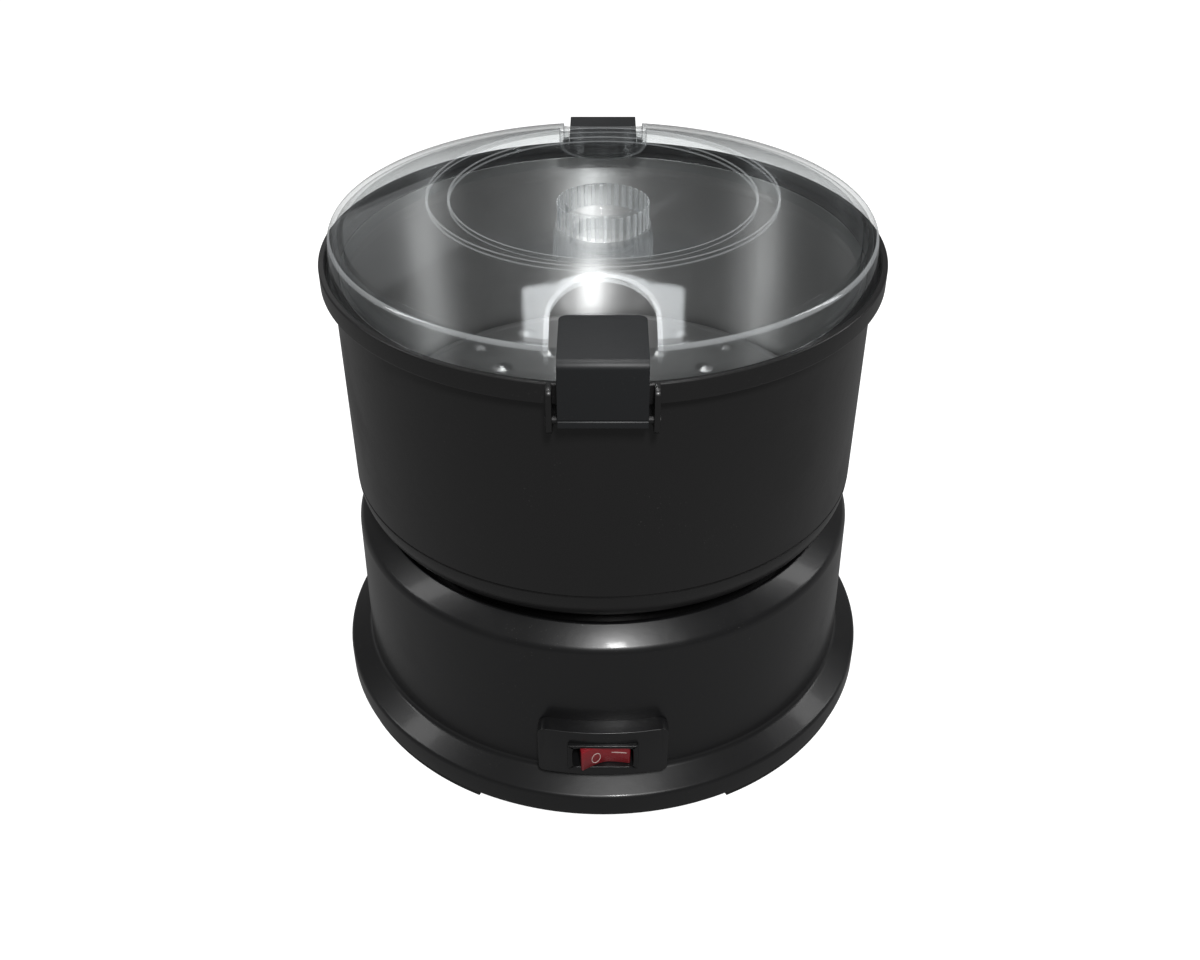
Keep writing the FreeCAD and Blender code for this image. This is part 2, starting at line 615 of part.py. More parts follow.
def make_base_housing():
    body = new_body("base_housing")
    skirt_top = "foot_rise + flange_skirt"
    well_outer = "well_radius + base_wall"
    wall_inner = "wall_top_radius - base_wall"
    revolve(body, "base_shell", [
        ("flange_radius", "foot_rise"),
        ("flange_radius", skirt_top, "flange_round"),
        ("wall_foot_radius", f"{skirt_top} + flange_rise", "flange_root"),
        ("wall_top_radius", "shoulder_level", "shoulder_round"),
        ("mouth_radius", "mouth_level", "mouth_round"),
        ("well_radius", "mouth_level - mouth_bevel"),
        ("well_radius", "deck_level"),
        ("ring_radius", "deck_level"),
        ("ring_radius", "deck_level + ring_rise"),
        ("ring_radius - ring_wall", "deck_level + ring_rise"),
        ("ring_radius - ring_wall", "deck_level"),
        ("boss_radius", "deck_level"),
        ("boss_radius", "boss_top"),
        ("bush_radius", "boss_top"),
        ("bush_radius", "deck_under"),
        (well_outer, "deck_under"),
        (well_outer, shoulder_under(well_outer)),
        (wall_inner, shoulder_under(wall_inner)),
        ("wall_foot_radius - base_wall", f"{skirt_top} + flange_rise - base_wall"),
        ("flange_radius - base_wall", f"{skirt_top} - base_wall"),
        ("flange_radius - base_wall", "foot_rise"),
    ])
    panel = pad(body, "switch_panel", panel_sketch(body), "panel_top - panel_bottom")
    corners = round_edges(body, "panel_corners", panel, "panel_round", is_panel_corner)
    round_edges(body, "panel_front_edge", corners, "panel_edge", is_panel_front)
    half_long = "bezel_long / 2 + gap"
    half_high = "bezel_high / 2 + gap"
    box(body, "bezel_recess",
        (f"-({half_long})", "-panel_face - overcut", f"switch_level - ({half_high})"),
        (half_long, "-bezel_seat", f"switch_level + {half_high}"), cut=True)
    box(body, "switch_window",
        ("-(body_long / 2 + gap)", "-panel_face", "switch_level - (body_high / 2 + gap)"),
        ("body_long / 2 + gap", "-wall_top_radius + 3 * base_wall", "switch_level + body_high / 2 + gap"),
        cut=True)
    post_base = "plate_top + gap"
    posts = circles(new_sketch(body, "post_places", level=post_base), POSTS, "post_radius")
    pad(body, "plate_posts", posts, f"post_top - ({post_base})")
    holes = circles(new_sketch(body, "post_hole_places", level=post_base), POSTS, "screw_radius")
    pocket(body, "plate_post_holes", holes, "screw_length")
    posts = circles(new_sketch(body, "gearpost_places", level="gearplate_top"), GEARPOSTS,
                    "gearpost_radius")
    pad(body, "gear_posts", posts, "deck_under - gearplate_top")
    holes = circles(new_sketch(body, "gearpost_hole_places", level="gearplate_top"), GEARPOSTS,
                    "screw_radius")
    pocket(body, "gear_post_holes", holes, "screw_length")
    axle_hole = circles(new_sketch(body, "axle_hole_place", level="deck_under"), [("0", "wheel_y")],
                        "axle_radius")
    pocket(body, "axle_hole", axle_hole, "deck_thick / 2")
    rod(body, "gland_pad", ("0", "wall_top_radius - base_wall / 2", "gland_level"),
        "gland_head + gland_margin", "gland_seat - wall_top_radius + base_wall / 2", along="y")
    rod(body, "gland_hole", ("0", "wall_top_radius - 3 * base_wall", "gland_level"), "gland_radius",
        "gland_seat - wall_top_radius + 4 * base_wall", along="y", cut=True)
    return node(body, "base_housing")


def panel_sketch(body):
    """The plan of the raised switch panel: a block with a curved face."""
    sketch = new_sketch(body, "panel_plan", level="panel_bottom")
    half = number("panel_half")
    back = number("wall_top_radius - 2 * base_wall")
    face = number("panel_face")
    side = math.sqrt(face ** 2 - half ** 2)
    corners = [(half, -side), (half, -back), (-half, -back), (-half, -side)]
    points = [FreeCAD.Vector(x, y, 0) for x, y in corners]
    for start, end in zip(points, points[1:]):
        sketch.addGeometry(Part.LineSegment(start, end))
    circle = Part.Circle(FreeCAD.Vector(), FreeCAD.Vector(0, 0, 1), face)
    start_angle = math.atan2(-side, -half)
    sketch.addGeometry(Part.ArcOfCircle(circle, start_angle, start_angle + 2 * math.asin(half / face)))
    sketch.addConstraint([
        Sketcher.Constraint("Coincident", 0, 2, 1, 1),
        Sketcher.Constraint("Coincident", 1, 2, 2, 1),
        Sketcher.Constraint("Coincident", 2, 2, 3, 1),
        Sketcher.Constraint("Coincident", 3, 2, 0, 1),
        Sketcher.Constraint("Coincident", 3, 3, -1, 1),
        Sketcher.Constraint("Vertical", 0),
        Sketcher.Constraint("Vertical", 2),
    ])
    pin_point(sketch, 1, 1, "panel_half", "-(wall_top_radius - 2 * base_wall)")
    pin_point(sketch, 1, 2, "-panel_half", "-(wall_top_radius - 2 * base_wall)")
    held = sketch.addConstraint(Sketcher.Constraint("Radius", 3, face))
    sketch.setExpression(f"Constraints[{held}]", sized("panel_face"))
    return sketch


def is_panel_corner(bounds):
    """Edges along Y at the panel's upper corners."""
    return (abs(abs(bounds.Center.x) - number("panel_half")) < 0.1 and bounds.ZLength < 0.1
            and abs(bounds.Center.z - number("panel_top")) < 0.1 and bounds.XLength < 0.1)


def is_panel_front(bounds):
    """Edges on the panel's curved face."""
    return (bounds.YMax < -math.sqrt(number("panel_face") ** 2 - number("panel_half") ** 2) + 0.01
            and bounds.ZMin > number("panel_bottom") - 0.1 and bounds.ZMax < number("panel_top") + 0.1)


def make_base_plate():
    body = new_body("base_plate")
    sketch = circles(new_sketch(body, "plate_plan", level="foot_rise"), [("0", "0")],
                     "flange_radius - base_wall - gap")
    pad(body, "plate_disc", sketch, "plate_thick")
    holes = circles(new_sketch(body, "screw_places", level="foot_rise"), POSTS, "screw_radius + play")
    pocket(body, "screw_holes", holes, "plate_thick")
    pegs = circles(new_sketch(body, "peg_places", level="foot_rise"), peg_places(), "peg_radius + play")
    pocket(body, "peg_holes", pegs, "plate_thick")
    slots = new_sketch(body, "vent_plan", level="foot_rise")
    outline(slots, [("vent_start", "-vent_width / 2"), ("vent_end", "-vent_width / 2"),
                    ("vent_end", "vent_width / 2"), ("vent_start", "vent_width / 2")])
    vent = pocket(body, "vent", slots, "plate_thick")
    copies(body, "vents", [vent], "vent_count")
    return node(body, "base_plate")


FOOT_NAMES = {"front_right": -90, "back_right": 90, "back_left": 90, "front_left": -90}


def foot_angles(name):
    """The angles from +X between which a foot lies."""
    middle = FOOT_NAMES[name]
    side = 1 if name in ("front_right", "back_left") else -1
    ends = [f"{middle} + {side} * foot_start", f"{middle} + {side} * foot_end"]
    return ends if side > 0 else ends[::-1]


def peg_places(names=tuple(FOOT_NAMES)):
    """Two pegs on each foot, a quarter of its arc in from its ends."""
    places = []
    for name in names:
        start, end = foot_angles(name)
        for share in ("0.2", "0.8"):
            angle = f"{start} + {share} * (({end}) - ({start}))"
            places.append(at_angle("(foot_inner + foot_outer) / 2", angle))
    return places


def make_foot(name):
    """A rubber foot: an arc of a ring with two pegs into the base plate."""
    body = new_body(f"foot_{name}")
    start, end = foot_angles(name)
    sweep = f"({end}) - ({start})"
    sketch = outline(new_sketch(body, f"foot_{name}_profile", "XZ_Plane"), [
        ("foot_inner", "0", "foot_rise / 4"), ("foot_outer", "0", "foot_rise / 4"),
        ("foot_outer", "foot_rise"), ("foot_inner", "foot_rise")])
    arc = body.newObject("PartDesign::Revolution", f"foot_{name}_arc")
    arc.Profile = sketch
    arc.ReferenceAxis = (sketch, ["V_Axis"])
    bind(arc, Angle=sweep)
    turned_pegs = []
    for share in ("0.2", "0.8"):
        turned_pegs.append(at_angle("(foot_inner + foot_outer) / 2", f"{share} * ({sweep})"))
    pegs = circles(new_sketch(body, f"foot_{name}_pegs", level="foot_rise"), turned_pegs, "peg_radius")
    pad(body, f"foot_{name}_peg_pads", pegs, "peg_rise")
    bind(body, Placement__Rotation__Angle=start)
    return node(body, f"foot_{name}")


def screw_group(name, places, seat):
    """Pan-head screws put in from below, their heads under a seat."""
    body = new_body(name)
    heads = circles(new_sketch(body, f"{name}_heads", level=f"{seat} - screw_head_rise"), places,
                    "screw_head_radius")
    pad(body, f"{name}_head_pads", heads, "screw_head_rise")
    shanks = circles(new_sketch(body, f"{name}_shanks", level=f"{seat}"), places, "screw_radius - running")
    pad(body, f"{name}_shank_pads", shanks, "screw_length")
    return node(body, name)


# Switch

def make_switch():
    front = "-bezel_front"
    body = new_body("switch_frame")
    box(body, "bezel", ("-bezel_long / 2", front, "switch_level - bezel_high / 2"),
        ("bezel_long / 2", "-bezel_seat", "switch_level + bezel_high / 2"))
    box(body, "switch_case", ("-body_long / 2", "-bezel_seat", "switch_level - body_high / 2"),
        ("body_long / 2", "-bezel_seat + body_deep", "switch_level + body_high / 2"))
    box(body, "rocker_room",
        ("-rocker_long / 2 - rocker_swing", front, "switch_level - rocker_high / 2 - gap"),
        ("rocker_long / 2 + rocker_swing", "-pivot_back + rocker_deep + 2 * gap",
         "switch_level + rocker_high / 2 + gap"), cut=True)
    rod(body, "pivot_holes", ("0", "-pivot_back", "switch_level - rocker_high / 2 - pivot_stub - gap / 2"),
        "pivot_radius + running", "rocker_high + 2 * pivot_stub + gap", cut=True)
    node(body, "switch_frame")

    body = new_body("rocker")
    section = outline(new_sketch(body, "rocker_section", level="-rocker_high / 2"), [
        ("-rocker_long / 2 + rocker_rake", "-rocker_end", "rocker_round"), ("0", "-rocker_middle"),
        ("rocker_long / 2 - rocker_rake", "-rocker_end", "rocker_round"),
        ("rocker_long / 2 - 2 * rocker_rake", "-rocker_rake"),
        ("rocker_root / 2", "rocker_deep - 3 * gap"), ("-rocker_root / 2", "rocker_deep - 3 * gap"),
        ("-rocker_long / 2 + 2 * rocker_rake", "-rocker_rake")])
    pad(body, "rocker_block", section, "rocker_high")
    rod(body, "pivot_stubs", ("0", "0", "-rocker_high / 2 - pivot_stub"), "pivot_radius",
        "rocker_high + 2 * pivot_stub")
    place(body, "0", "-pivot_back", "switch_level")
    bind(body, Placement__Rotation__Angle="rocker_tilt")
    node(body, "rocker")

    body = new_body("switch_terminals")
    back = "-bezel_seat + body_deep"
    for name, side in (("first", "-1"), ("second", "0"), ("third", "1")):
        middle = f"{side} * blade_pitch"
        box(body, f"{name}_terminal",
            (f"{middle} - blade_thick / 2", back, "switch_level - blade_long / 2"),
            (f"{middle} + blade_thick / 2", f"{back} + blade_reach", "switch_level + blade_long / 2"))
    node(body, "switch_terminals")


# Gears

PRESSURE_ANGLE = math.radians(20)
FLANK_STEPS = 6


def involute_point(base, radius, start_angle, side):
    """A point of an involute flank at a radius, on one side of a tooth."""
    pressure = math.acos(base / radius)
    angle = start_angle - side * (math.tan(pressure) - pressure)
    return FreeCAD.Vector(radius * math.cos(angle), radius * math.sin(angle), 0)


def gear_wire(teeth, module, addendum, turn):
    """The closed outline of an external gear with one tooth centred at an angle."""
    pitch = module * teeth / 2
    base = pitch * math.cos(PRESSURE_ANGLE)
    root = pitch - 1.25 * module
    tip = pitch + addendum * module
    start = max(base, root) + 0.01
    pitch_involute = math.tan(PRESSURE_ANGLE) - PRESSURE_ANGLE
    half_tooth = (math.pi * module / 2 - number("backlash")) / (2 * pitch) + pitch_involute
    radii = [start + (tip - start) * step / FLANK_STEPS for step in range(FLANK_STEPS + 1)]
    edges = []
    first_root = None
    last_root = None
    for tooth in range(teeth):
        middle = turn + 2 * math.pi * tooth / teeth
        rising = [involute_point(base, r, middle - half_tooth, -1) for r in radii]
        falling = [involute_point(base, r, middle + half_tooth, 1) for r in radii][::-1]
        roots = [root_point(root, point) for point in (rising[0], falling[-1])]
        if last_root is not None:
            edges.append(Part.LineSegment(last_root, roots[0]).toShape())
        edges.append(Part.LineSegment(roots[0], rising[0]).toShape())
        edges.append(flank(rising))
        edges.append(Part.LineSegment(rising[-1], falling[0]).toShape())
        edges.append(flank(falling))
        edges.append(Part.LineSegment(falling[-1], roots[1]).toShape())
        first_root = first_root or roots[0]
        last_root = roots[1]
    edges.append(Part.LineSegment(last_root, first_root).toShape())
    return Part.Wire(edges)


def root_point(root, point):
    """The point of the root circle on the radius through a flank's foot."""
    return FreeCAD.Vector(point).normalize() * root


def flank(points):
    curve = Part.BSplineCurve()
    curve.interpolate(points)
    return curve.toShape()


def gear_solid(teeth, module, addendum, turn, bottom, thickness):
    face = Part.Face(gear_wire(teeth, module, addendum, turn))
    face.translate(FreeCAD.Vector(0, 0, bottom))
    return face.extrude(FreeCAD.Vector(0, 0, thickness))


def upright(radius, bottom, top):
    return Part.makeCylinder(radius, top - bottom, FreeCAD.Vector(0, 0, bottom))


def gear_node(name, shape, x="0", y="0"):
    feature = doc.addObject("Part::Feature", name)
    feature.Shape = shape
    place(feature, x, y)
    return node(feature, name)


WHEEL_ADDENDUM = 0.8
PINION_ADDENDUM = 1.0


def make_gears():
    pinion = int(number("pinion_teeth"))
    wheel = int(number("wheel_teeth"))
    output = int(number("output_teeth"))
    fine = number("motor_module")
    coarse = number("output_module")
    level = number("gear_level")
    wheel_top = number("wheel_top")
    gear_top = number("output_top")
    past = number("tooth_overlap")

    # The output gear has a tooth towards the wheel's axle, whose pinion has a gap there.
    gear = gear_solid(output, coarse, WHEEL_ADDENDUM, math.pi / 2, number("output_level"),
                      number("output_thick"))
    web_cut = upright(number("output_module * output_teeth / 2 - output_rim"),
                      number("output_level + output_web"), gear_top + past)
    gear = gear.cut(web_cut.cut(upright(number("hub_radius"), 0, gear_top + 2 * past)))
    hub = upright(number("hub_radius"), number("gearplate_top + flange_thick + gap"), gear_top)
    gear = gear.fuse(hub).cut(upright(number("shaft_radius"), 0, gear_top + past))
    gear_node("output_gear", gear.removeSplitter())

    # The wheel has a tooth towards the motor, whose pinion has a gap there.
    compound = gear_solid(wheel, fine, WHEEL_ADDENDUM, 0, level, number("wheel_thick"))
    pinion_turn = -math.pi / 2 + math.pi / pinion
    small = gear_solid(pinion, coarse, PINION_ADDENDUM, pinion_turn, wheel_top,
                       gear_top + past - wheel_top)
    hub = upright(number("axle_radius + wheel_hub_wall"), number("gearplate_top + gap"), level)
    bore = upright(number("axle_radius + running"), 0, gear_top + 2 * past)
    gear_node("compound_gear", compound.fuse([small, hub]).cut(bore).removeSplitter(), "0", "wheel_y")

    motor = gear_solid(pinion, fine, PINION_ADDENDUM, math.pi + math.pi / pinion, level - past,
                       number("wheel_thick") + 2 * past)
    bore = upright(number("motor_shaft_radius"), 0, gear_top)
    gear_node("motor_pinion", motor.cut(bore), "motor_x", "wheel_y")


def make_gearbox():
    body = new_body("gearbox_plate")
    plan = circles(new_sketch(body, "gearplate_plan", level="gearplate_level"), [("0", "0")],
                   "gearplate_radius")
    pad(body, "gearplate_disc", plan, "gearplate_thick")
    for name, places, radius in (
            ("bush_seat", [("0", "0")], "bush_radius"),
            ("nose_seat", [("motor_x", "wheel_y")], "nose_radius + gap"),
            ("axle_seat", [("0", "wheel_y")], "axle_radius"),
            ("gearpost_screw_holes", GEARPOSTS, "screw_radius + play"),
            ("motor_screw_holes", MOTOR_SCREWS, "screw_radius + play")):
        holes = circles(new_sketch(body, f"{name}_plan", level="gearplate_level"), places, radius)
        pocket(body, name, holes, "gearplate_thick")
    node(body, "gearbox_plate")
    screw_group("gearbox_screws", GEARPOSTS, "gearplate_level")
    axle_top = "deck_under + deck_thick / 2 - play"
    turned("gear_axle", [("0", "gearplate_level"), ("axle_radius", "gearplate_level"),
                         ("axle_radius", axle_top), ("0", axle_top)], "0", "wheel_y")


# Motor

def make_motor():
    can = turned("motor_can", [
        ("motor_radius", "can_foot"), ("motor_radius", "gearplate_level", "can_wall"),
        ("nose_radius", "gearplate_level"), ("nose_radius", "nose_top"),
        ("motor_shaft_radius + shaft_room", "nose_top"),
        ("motor_shaft_radius + shaft_room", "nose_top - can_wall"),
        ("bearing_outer", "nose_top - can_wall"), ("bearing_outer", "gearplate_level - can_wall"),
        ("motor_radius - can_wall", "gearplate_level - can_wall"),
        ("motor_radius - can_wall", "can_foot")], "motor_x", "wheel_y")
    holes = circles(new_sketch(can, "can_hole_places", level="gearplate_level - can_wall"),
                    [("0", "motor_screw_pitch"), ("0", "-motor_screw_pitch")], "screw_radius")
    pocket(can, "can_holes", holes, "can_wall")
    turned("motor_end_cap", [
        ("motor_radius - cap_taper", "cap_foot", "cap_floor"), ("motor_radius", "can_foot"),
        ("bearing_outer", "can_foot"), ("bearing_outer", "cap_foot + cap_floor"),
        ("motor_shaft_radius + shaft_room", "cap_foot + cap_floor"),
        ("motor_shaft_radius + shaft_room", "cap_foot")], "motor_x", "wheel_y")
    bearings = (("lower", "cap_foot + cap_floor", "cap_foot + cap_floor + bearing_thick"),
                ("upper", "nose_top - can_wall - bearing_thick", "nose_top - can_wall"))
    for name, low, high in bearings:
        turned(f"motor_bearing_{name}", tube_corners("motor_shaft_radius + running", "bearing_outer",
               low, high), "motor_x", "wheel_y")
    shaft_ends = ("cap_foot + cap_floor / 2", "wheel_top + 2 * tooth_overlap")
    turned("motor_shaft", [("0", shaft_ends[0]), ("motor_shaft_radius", shaft_ends[0]),
                           ("motor_shaft_radius", shaft_ends[1]), ("0", shaft_ends[1])],
           "motor_x", "wheel_y")
    turned("armature", [
        ("motor_shaft_radius", "can_foot + 2 * gap"), ("commutator_radius", "can_foot + 2 * gap"),
        ("commutator_radius", "armature_foot"), ("armature_radius", "armature_foot", "armature_round"),
        ("armature_radius", "armature_foot + armature_rise", "armature_round"),
        ("motor_shaft_radius", "armature_foot + armature_rise")], "motor_x", "wheel_y")
    body = new_body("motor_magnets")
    magnet = revolve(body, "magnet", tube_corners(
        "motor_radius - can_wall - magnet_thick", "motor_radius - can_wall",
        "armature_foot", "armature_foot + armature_rise"), angle="magnet_sweep")
    copies(body, "both_magnets", [magnet], "2")
    place(body, "motor_x", "wheel_y")
    node(body, "motor_magnets")
    body = new_body("motor_screws")
    heads = circles(new_sketch(body, "motor_screw_heads", level="gearplate_top"), MOTOR_SCREWS,
                    "screw_head_radius")
    pad(body, "motor_screw_head_pads", heads, "screw_head_rise")
    depth = "gearplate_thick + can_wall"
    shanks = circles(new_sketch(body, "motor_screw_shanks", level=f"gearplate_top - ({depth})"),
                     MOTOR_SCREWS, "screw_radius")
    pad(body, "motor_screw_shank_pads", shanks, depth)
    node(body, "motor_screws")


# Output shaft

def make_output():
    flanged_bush("shaft_bush_lower", "shaft_radius + running", "gearplate_top",
                 "gearplate_top + flange_thick", "shaft_foot", "gearplate_top")
    flanged_bush("shaft_bush_upper", "shaft_radius + running", "deck_under - flange_thick",
                 "deck_under", "deck_under", "boss_top")
    turned("output_shaft", [("0", "shaft_foot"), ("shaft_radius", "shaft_foot"),
                            ("shaft_radius", "dog_top - dog_cap"), ("0", "dog_top - dog_cap")])
    turned("shaft_seal", tube_corners("shaft_radius + running", "bush_flange", "boss_top",
                                      "dog_level - gap"))
    body = new_body("drive_dog")
    hexagon(body, "dog_hexagon", "dog_flats", "dog_level", "dog_rise")
    bore = circles(new_sketch(body, "dog_bore_plan", level="dog_level"), [("0", "0")], "shaft_radius")
    pocket(body, "dog_bore", bore, "dog_rise - dog_cap")
    node(body, "drive_dog")


def hexagon(body, name, flats, level, rise, cut=False):
    """A hexagonal prism, or a socket of that form, on the Z axis."""
    reach = f"({flats}) / sqrt(3)"
    corners = [at_angle(reach, 60 * index) for index in range(6)]
    corners = [tuple("0" if abs(number(text)) < 1e-9 else text for text in corner) for corner in corners]
    sketch = outline(new_sketch(body, f"{name}_plan", level=level), corners)
    make = pocket if cut else pad
    return make(body, name, sketch, rise)


# Bowl

def ear_outline(body, name, side, facing):
    """The side view of a hinge ear at the front or the back, with rounded outer corners."""
    sketch = new_sketch(body, name, "YZ_Plane", level=side)
    return outline(sketch, [
        (f"{facing} * bowl_inner", "ear_foot"),
        (f"{facing} * ear_reach", "ear_foot + ear_slope", "ear_slope"),
        (f"{facing} * ear_reach", "rim_level", "ear_slope"),
        (f"{facing} * bowl_inner", "rim_level")])


def make_bowl():
    body = new_body("bowl")
    neck_foot = "deck_level + gap"
    revolve(body, "bowl_shell", [
        ("neck_radius - bowl_wall", neck_foot),
        ("neck_radius", neck_foot),
        ("neck_radius", "bowl_floor_level"),
        ("bowl_radius", "bowl_floor_level", "bowl_round"),
        ("bowl_radius", "groove_level"),
        ("bowl_radius - groove_deep", "groove_level + groove_deep"),
        ("bowl_radius", "groove_level + 2 * groove_deep"),
        ("bowl_radius", "rim_level - lip_rise"),
        ("lip_radius", "rim_level - lip_rise", "lip_round"),
        ("lip_radius", "rim_level", "lip_round"),
        ("bowl_inner", "rim_level", "lip_round"),
        ("bowl_inner", "floor_top", "bowl_round - bowl_wall"),
        ("bowl_hub_radius", "floor_top"),
        ("bowl_hub_radius", "bowl_hub_top"),
        ("hub_bore", "bowl_hub_top"),
        ("hub_bore", "hub_foot"),
        ("bowl_hub_radius", "hub_foot"),
        ("bowl_hub_radius", "bowl_floor_level"),
        ("neck_radius - bowl_wall", "bowl_floor_level"),
    ])
    for end, facing in (("front", "-1"), ("back", "1")):
        for name, side in ((f"{end}_right", "ear_inner"), (f"{end}_left", "-ear_outer")):
            sketch = ear_outline(body, f"{name}_ear_side", side, facing)
            pad(body, f"{name}_ear", sketch, "ear_thick")
        rod(body, f"{end}_hinge_hole", ("-ear_outer", f"{facing} * hinge_back", "hinge_level"),
            "pin_radius", "2 * ear_outer", along="x", cut=True)
    # The seat for the lid's foot is cut last, through the ears' roots too.
    revolve(body, "lid_seat", [
        ("bowl_inner - gap", "seat_level"), ("seat_radius", "seat_level"),
        ("seat_radius", "rim_level + overcut"), ("bowl_inner - gap", "rim_level + overcut")], cut=True)
    return node(body, "bowl")


def make_bowl_fittings():
    turned("bowl_liner", tube_corners("liner_inner", "liner_outer", "groove_level",
                                      "seat_level - liner_drop"))
    bore = "spindle_radius + running"
    turned("bowl_bush", [
        (bore, "hub_foot"), ("hub_bore", "hub_foot"), ("hub_bore", "bowl_hub_top"),
        ("bowl_hub_radius", "bowl_hub_top"), ("bowl_hub_radius", "bowl_bush_top"),
        (bore, "bowl_bush_top")])
    turned("bowl_seal", [(bore, "bowl_bush_top"), ("spindle_radius + seal_width", "bowl_bush_top"),
                         ("spindle_radius + seal_lip", "seal_top"), (bore, "seal_top")])


# Disc

# The rings of bumps on the disc: their place as a share of its radius, and their number
BUMP_RINGS = (("0.42", "bumps_inner"), ("0.66", "bumps_middle"), ("0.9", "bumps_outer"))


def make_disc():
    body = new_body("peeling_disc")
    hub_foot = "seal_top + seal_clear"
    revolve(body, "disc_turned", [
        ("spindle_radius", hub_foot), ("disc_hub_radius", hub_foot),
        ("disc_hub_radius + disc_hub_flare", "disc_level"), ("disc_radius", "disc_level"),
        ("disc_radius", "disc_top", "disc_round"), ("nut_spigot", "disc_top"),
        ("nut_spigot", "disc_level"), ("spindle_radius", "disc_level")])
    for ring, (share, count) in enumerate(BUMP_RINGS):
        bump = body.newObject("PartDesign::AdditiveCone", f"bump_{ring}")
        bind(bump, Radius1="bump_radius", Radius2="bump_radius / 2", Height="bump_rise + disc_thick / 2")
        place(bump, f"{share} * disc_radius", "0", "disc_top - disc_thick / 2")
        copies(body, f"bumps_{ring}", [bump], count)
    node(body, "peeling_disc")

    body = new_body("disc_spindle")
    thread_top = "disc_top + nut_rise - nut_cap"
    revolve(body, "spindle_turned", [
        ("0", "spindle_foot"), ("spindle_radius", "spindle_foot"), ("spindle_radius", "disc_level"),
        ("nut_spigot", "disc_level"), ("nut_spigot", thread_top), ("0", thread_top)])
    hexagon(body, "dog_socket", "dog_flats + 2 * socket_play", "spindle_foot",
            "dog_top + 2 * gap - spindle_foot", cut=True)
    node(body, "disc_spindle")

    body = new_body("disc_nut")
    hexagon(body, "nut_hexagon", "nut_flats", "disc_top", "nut_rise")
    bore_plan = circles(new_sketch(body, "nut_bore_plan", level="disc_top"), [("0", "0")], "nut_spigot")
    pocket(body, "nut_bore", bore_plan, "nut_rise - nut_cap")
    node(body, "disc_nut")


# Lid

def lid_line(start_radius, start_level, end_radius, end_level, radius):
    """The height of a straight line of the lid's profile at a radius."""
    slope = f"(({end_level}) - ({start_level})) / (({end_radius}) - ({start_radius}))"
    return f"{start_level} + (({radius}) - ({start_radius})) * {slope}"


def make_lid():
    outer = [
        ("lid_foot_radius", "seat_level + gap"),
        ("lid_edge_radius", "lid_edge_level", "lid_round"),
        ("crest_outer", "crest_level", "crest_round"),
        ("crest_inner", "crest_level - crest_dip", "crest_round"),
        ("knob_radius", "dish_level"),
    ]
    slope_under = ("lid_edge_radius - lid_wall", "lid_edge_level - lid_wall",
                   "crest_outer - lid_wall / 4", "crest_level - lid_wall")
    shell = new_body("lid_shell")
    revolve(shell, "lid_turned", outer + [
        ("knob_radius", "knob_top", "knob_round"), ("knob_bore", "knob_top", "knob_round"),
        ("knob_bore", "dish_level"), ("0", "dish_level"), ("0", "dish_under"),
        ("boss_outer - lid_wall", "dish_under"), ("boss_outer - lid_wall", "rim_level"),
        ("boss_outer", "rim_level"), ("boss_outer", "dish_under"),
        ("knob_radius + knob_round", "dish_under"),
        ("crest_inner + lid_wall / 4", "crest_level - crest_dip - lid_wall"),
        (slope_under[2], slope_under[3]),
        ("collar_inner", lid_line(*slope_under, "collar_inner")),
        ("collar_inner", "collar_foot"), ("collar_radius", "collar_foot"),
        ("collar_radius", lid_line(*slope_under, "collar_radius")),
        (slope_under[0], slope_under[1]),
        ("lid_foot_radius - lid_wall", "seat_level + gap"),
    ])
    rib_foot = "dish_level - lid_wall / 2"
    rib = rod(shell, "knob_rib", ("knob_radius", "0", rib_foot), "rib_radius",
              f"knob_top - rib_drop - ({rib_foot})")
    copies(shell, "knob_rib_ring", [rib], "knob_ribs")

    # A solid under the lid's upper face trims the walls of the latch pockets to that face.
    fill = new_body("lid_fill")
    revolve(fill, "lid_fill_turned", outer[:4] + [("knob_radius", "dish_level"), ("0", "dish_level"),
                                                  ("0", "seat_level + gap")])
    walls = new_body("pocket_walls")
    wall_foot = "pocket_floor - lid_wall"
    pocket_block(walls, "pocket_wall", "pocket_half + lid_wall", wall_foot, "crest_level")
    kept = doc.addObject("Part::MultiCommon", "trimmed_walls")
    kept.Shapes = [fill, walls]
    whole = doc.addObject("Part::MultiFuse", "lid_with_walls")
    whole.Shapes = [shell, kept]
    rooms = new_body("pocket_rooms")
    pocket_block(rooms, "pocket_room", "pocket_half", "pocket_floor", "crest_level + overcut")
    notches = new_body("latch_notches")
    notch_half = "latch_half + 2.5 * gap"
    outside = "-lid_foot_radius - 2 * overcut"
    upper = box(notches, "floor_notch", (f"-({notch_half})", outside, f"{wall_foot} - play"),
                (notch_half, "-notch_edge", "crest_level"))
    lower = box(notches, "skirt_notch", (f"-({notch_half})", outside, "rim_level - overcut"),
                (notch_half, "-collar_radius - gap", "crest_level"))
    copies(notches, "both_notches", [upper, lower], "2")
    tools = doc.addObject("Part::MultiFuse", "lid_cuts")
    tools.Shapes = [rooms, notches]
    lid = doc.addObject("Part::Cut", "lid")
    lid.Base = whole
    lid.Tool = tools
    return node(lid, "lid")


def pocket_block(body, name, half, bottom, top):
    """The two U-shaped blocks of the latch pockets, round at their inner end."""
    block = box(body, name, (f"-({half})", "-lid_foot_radius - overcut", bottom),
                (half, "-pocket_centre", top))
    end = rod(body, f"{name}_end", ("0", "-pocket_centre", bottom), half, f"({top}) - ({bottom})")
    return copies(body, f"{name}_pair", [block, end], "2")


# Latches

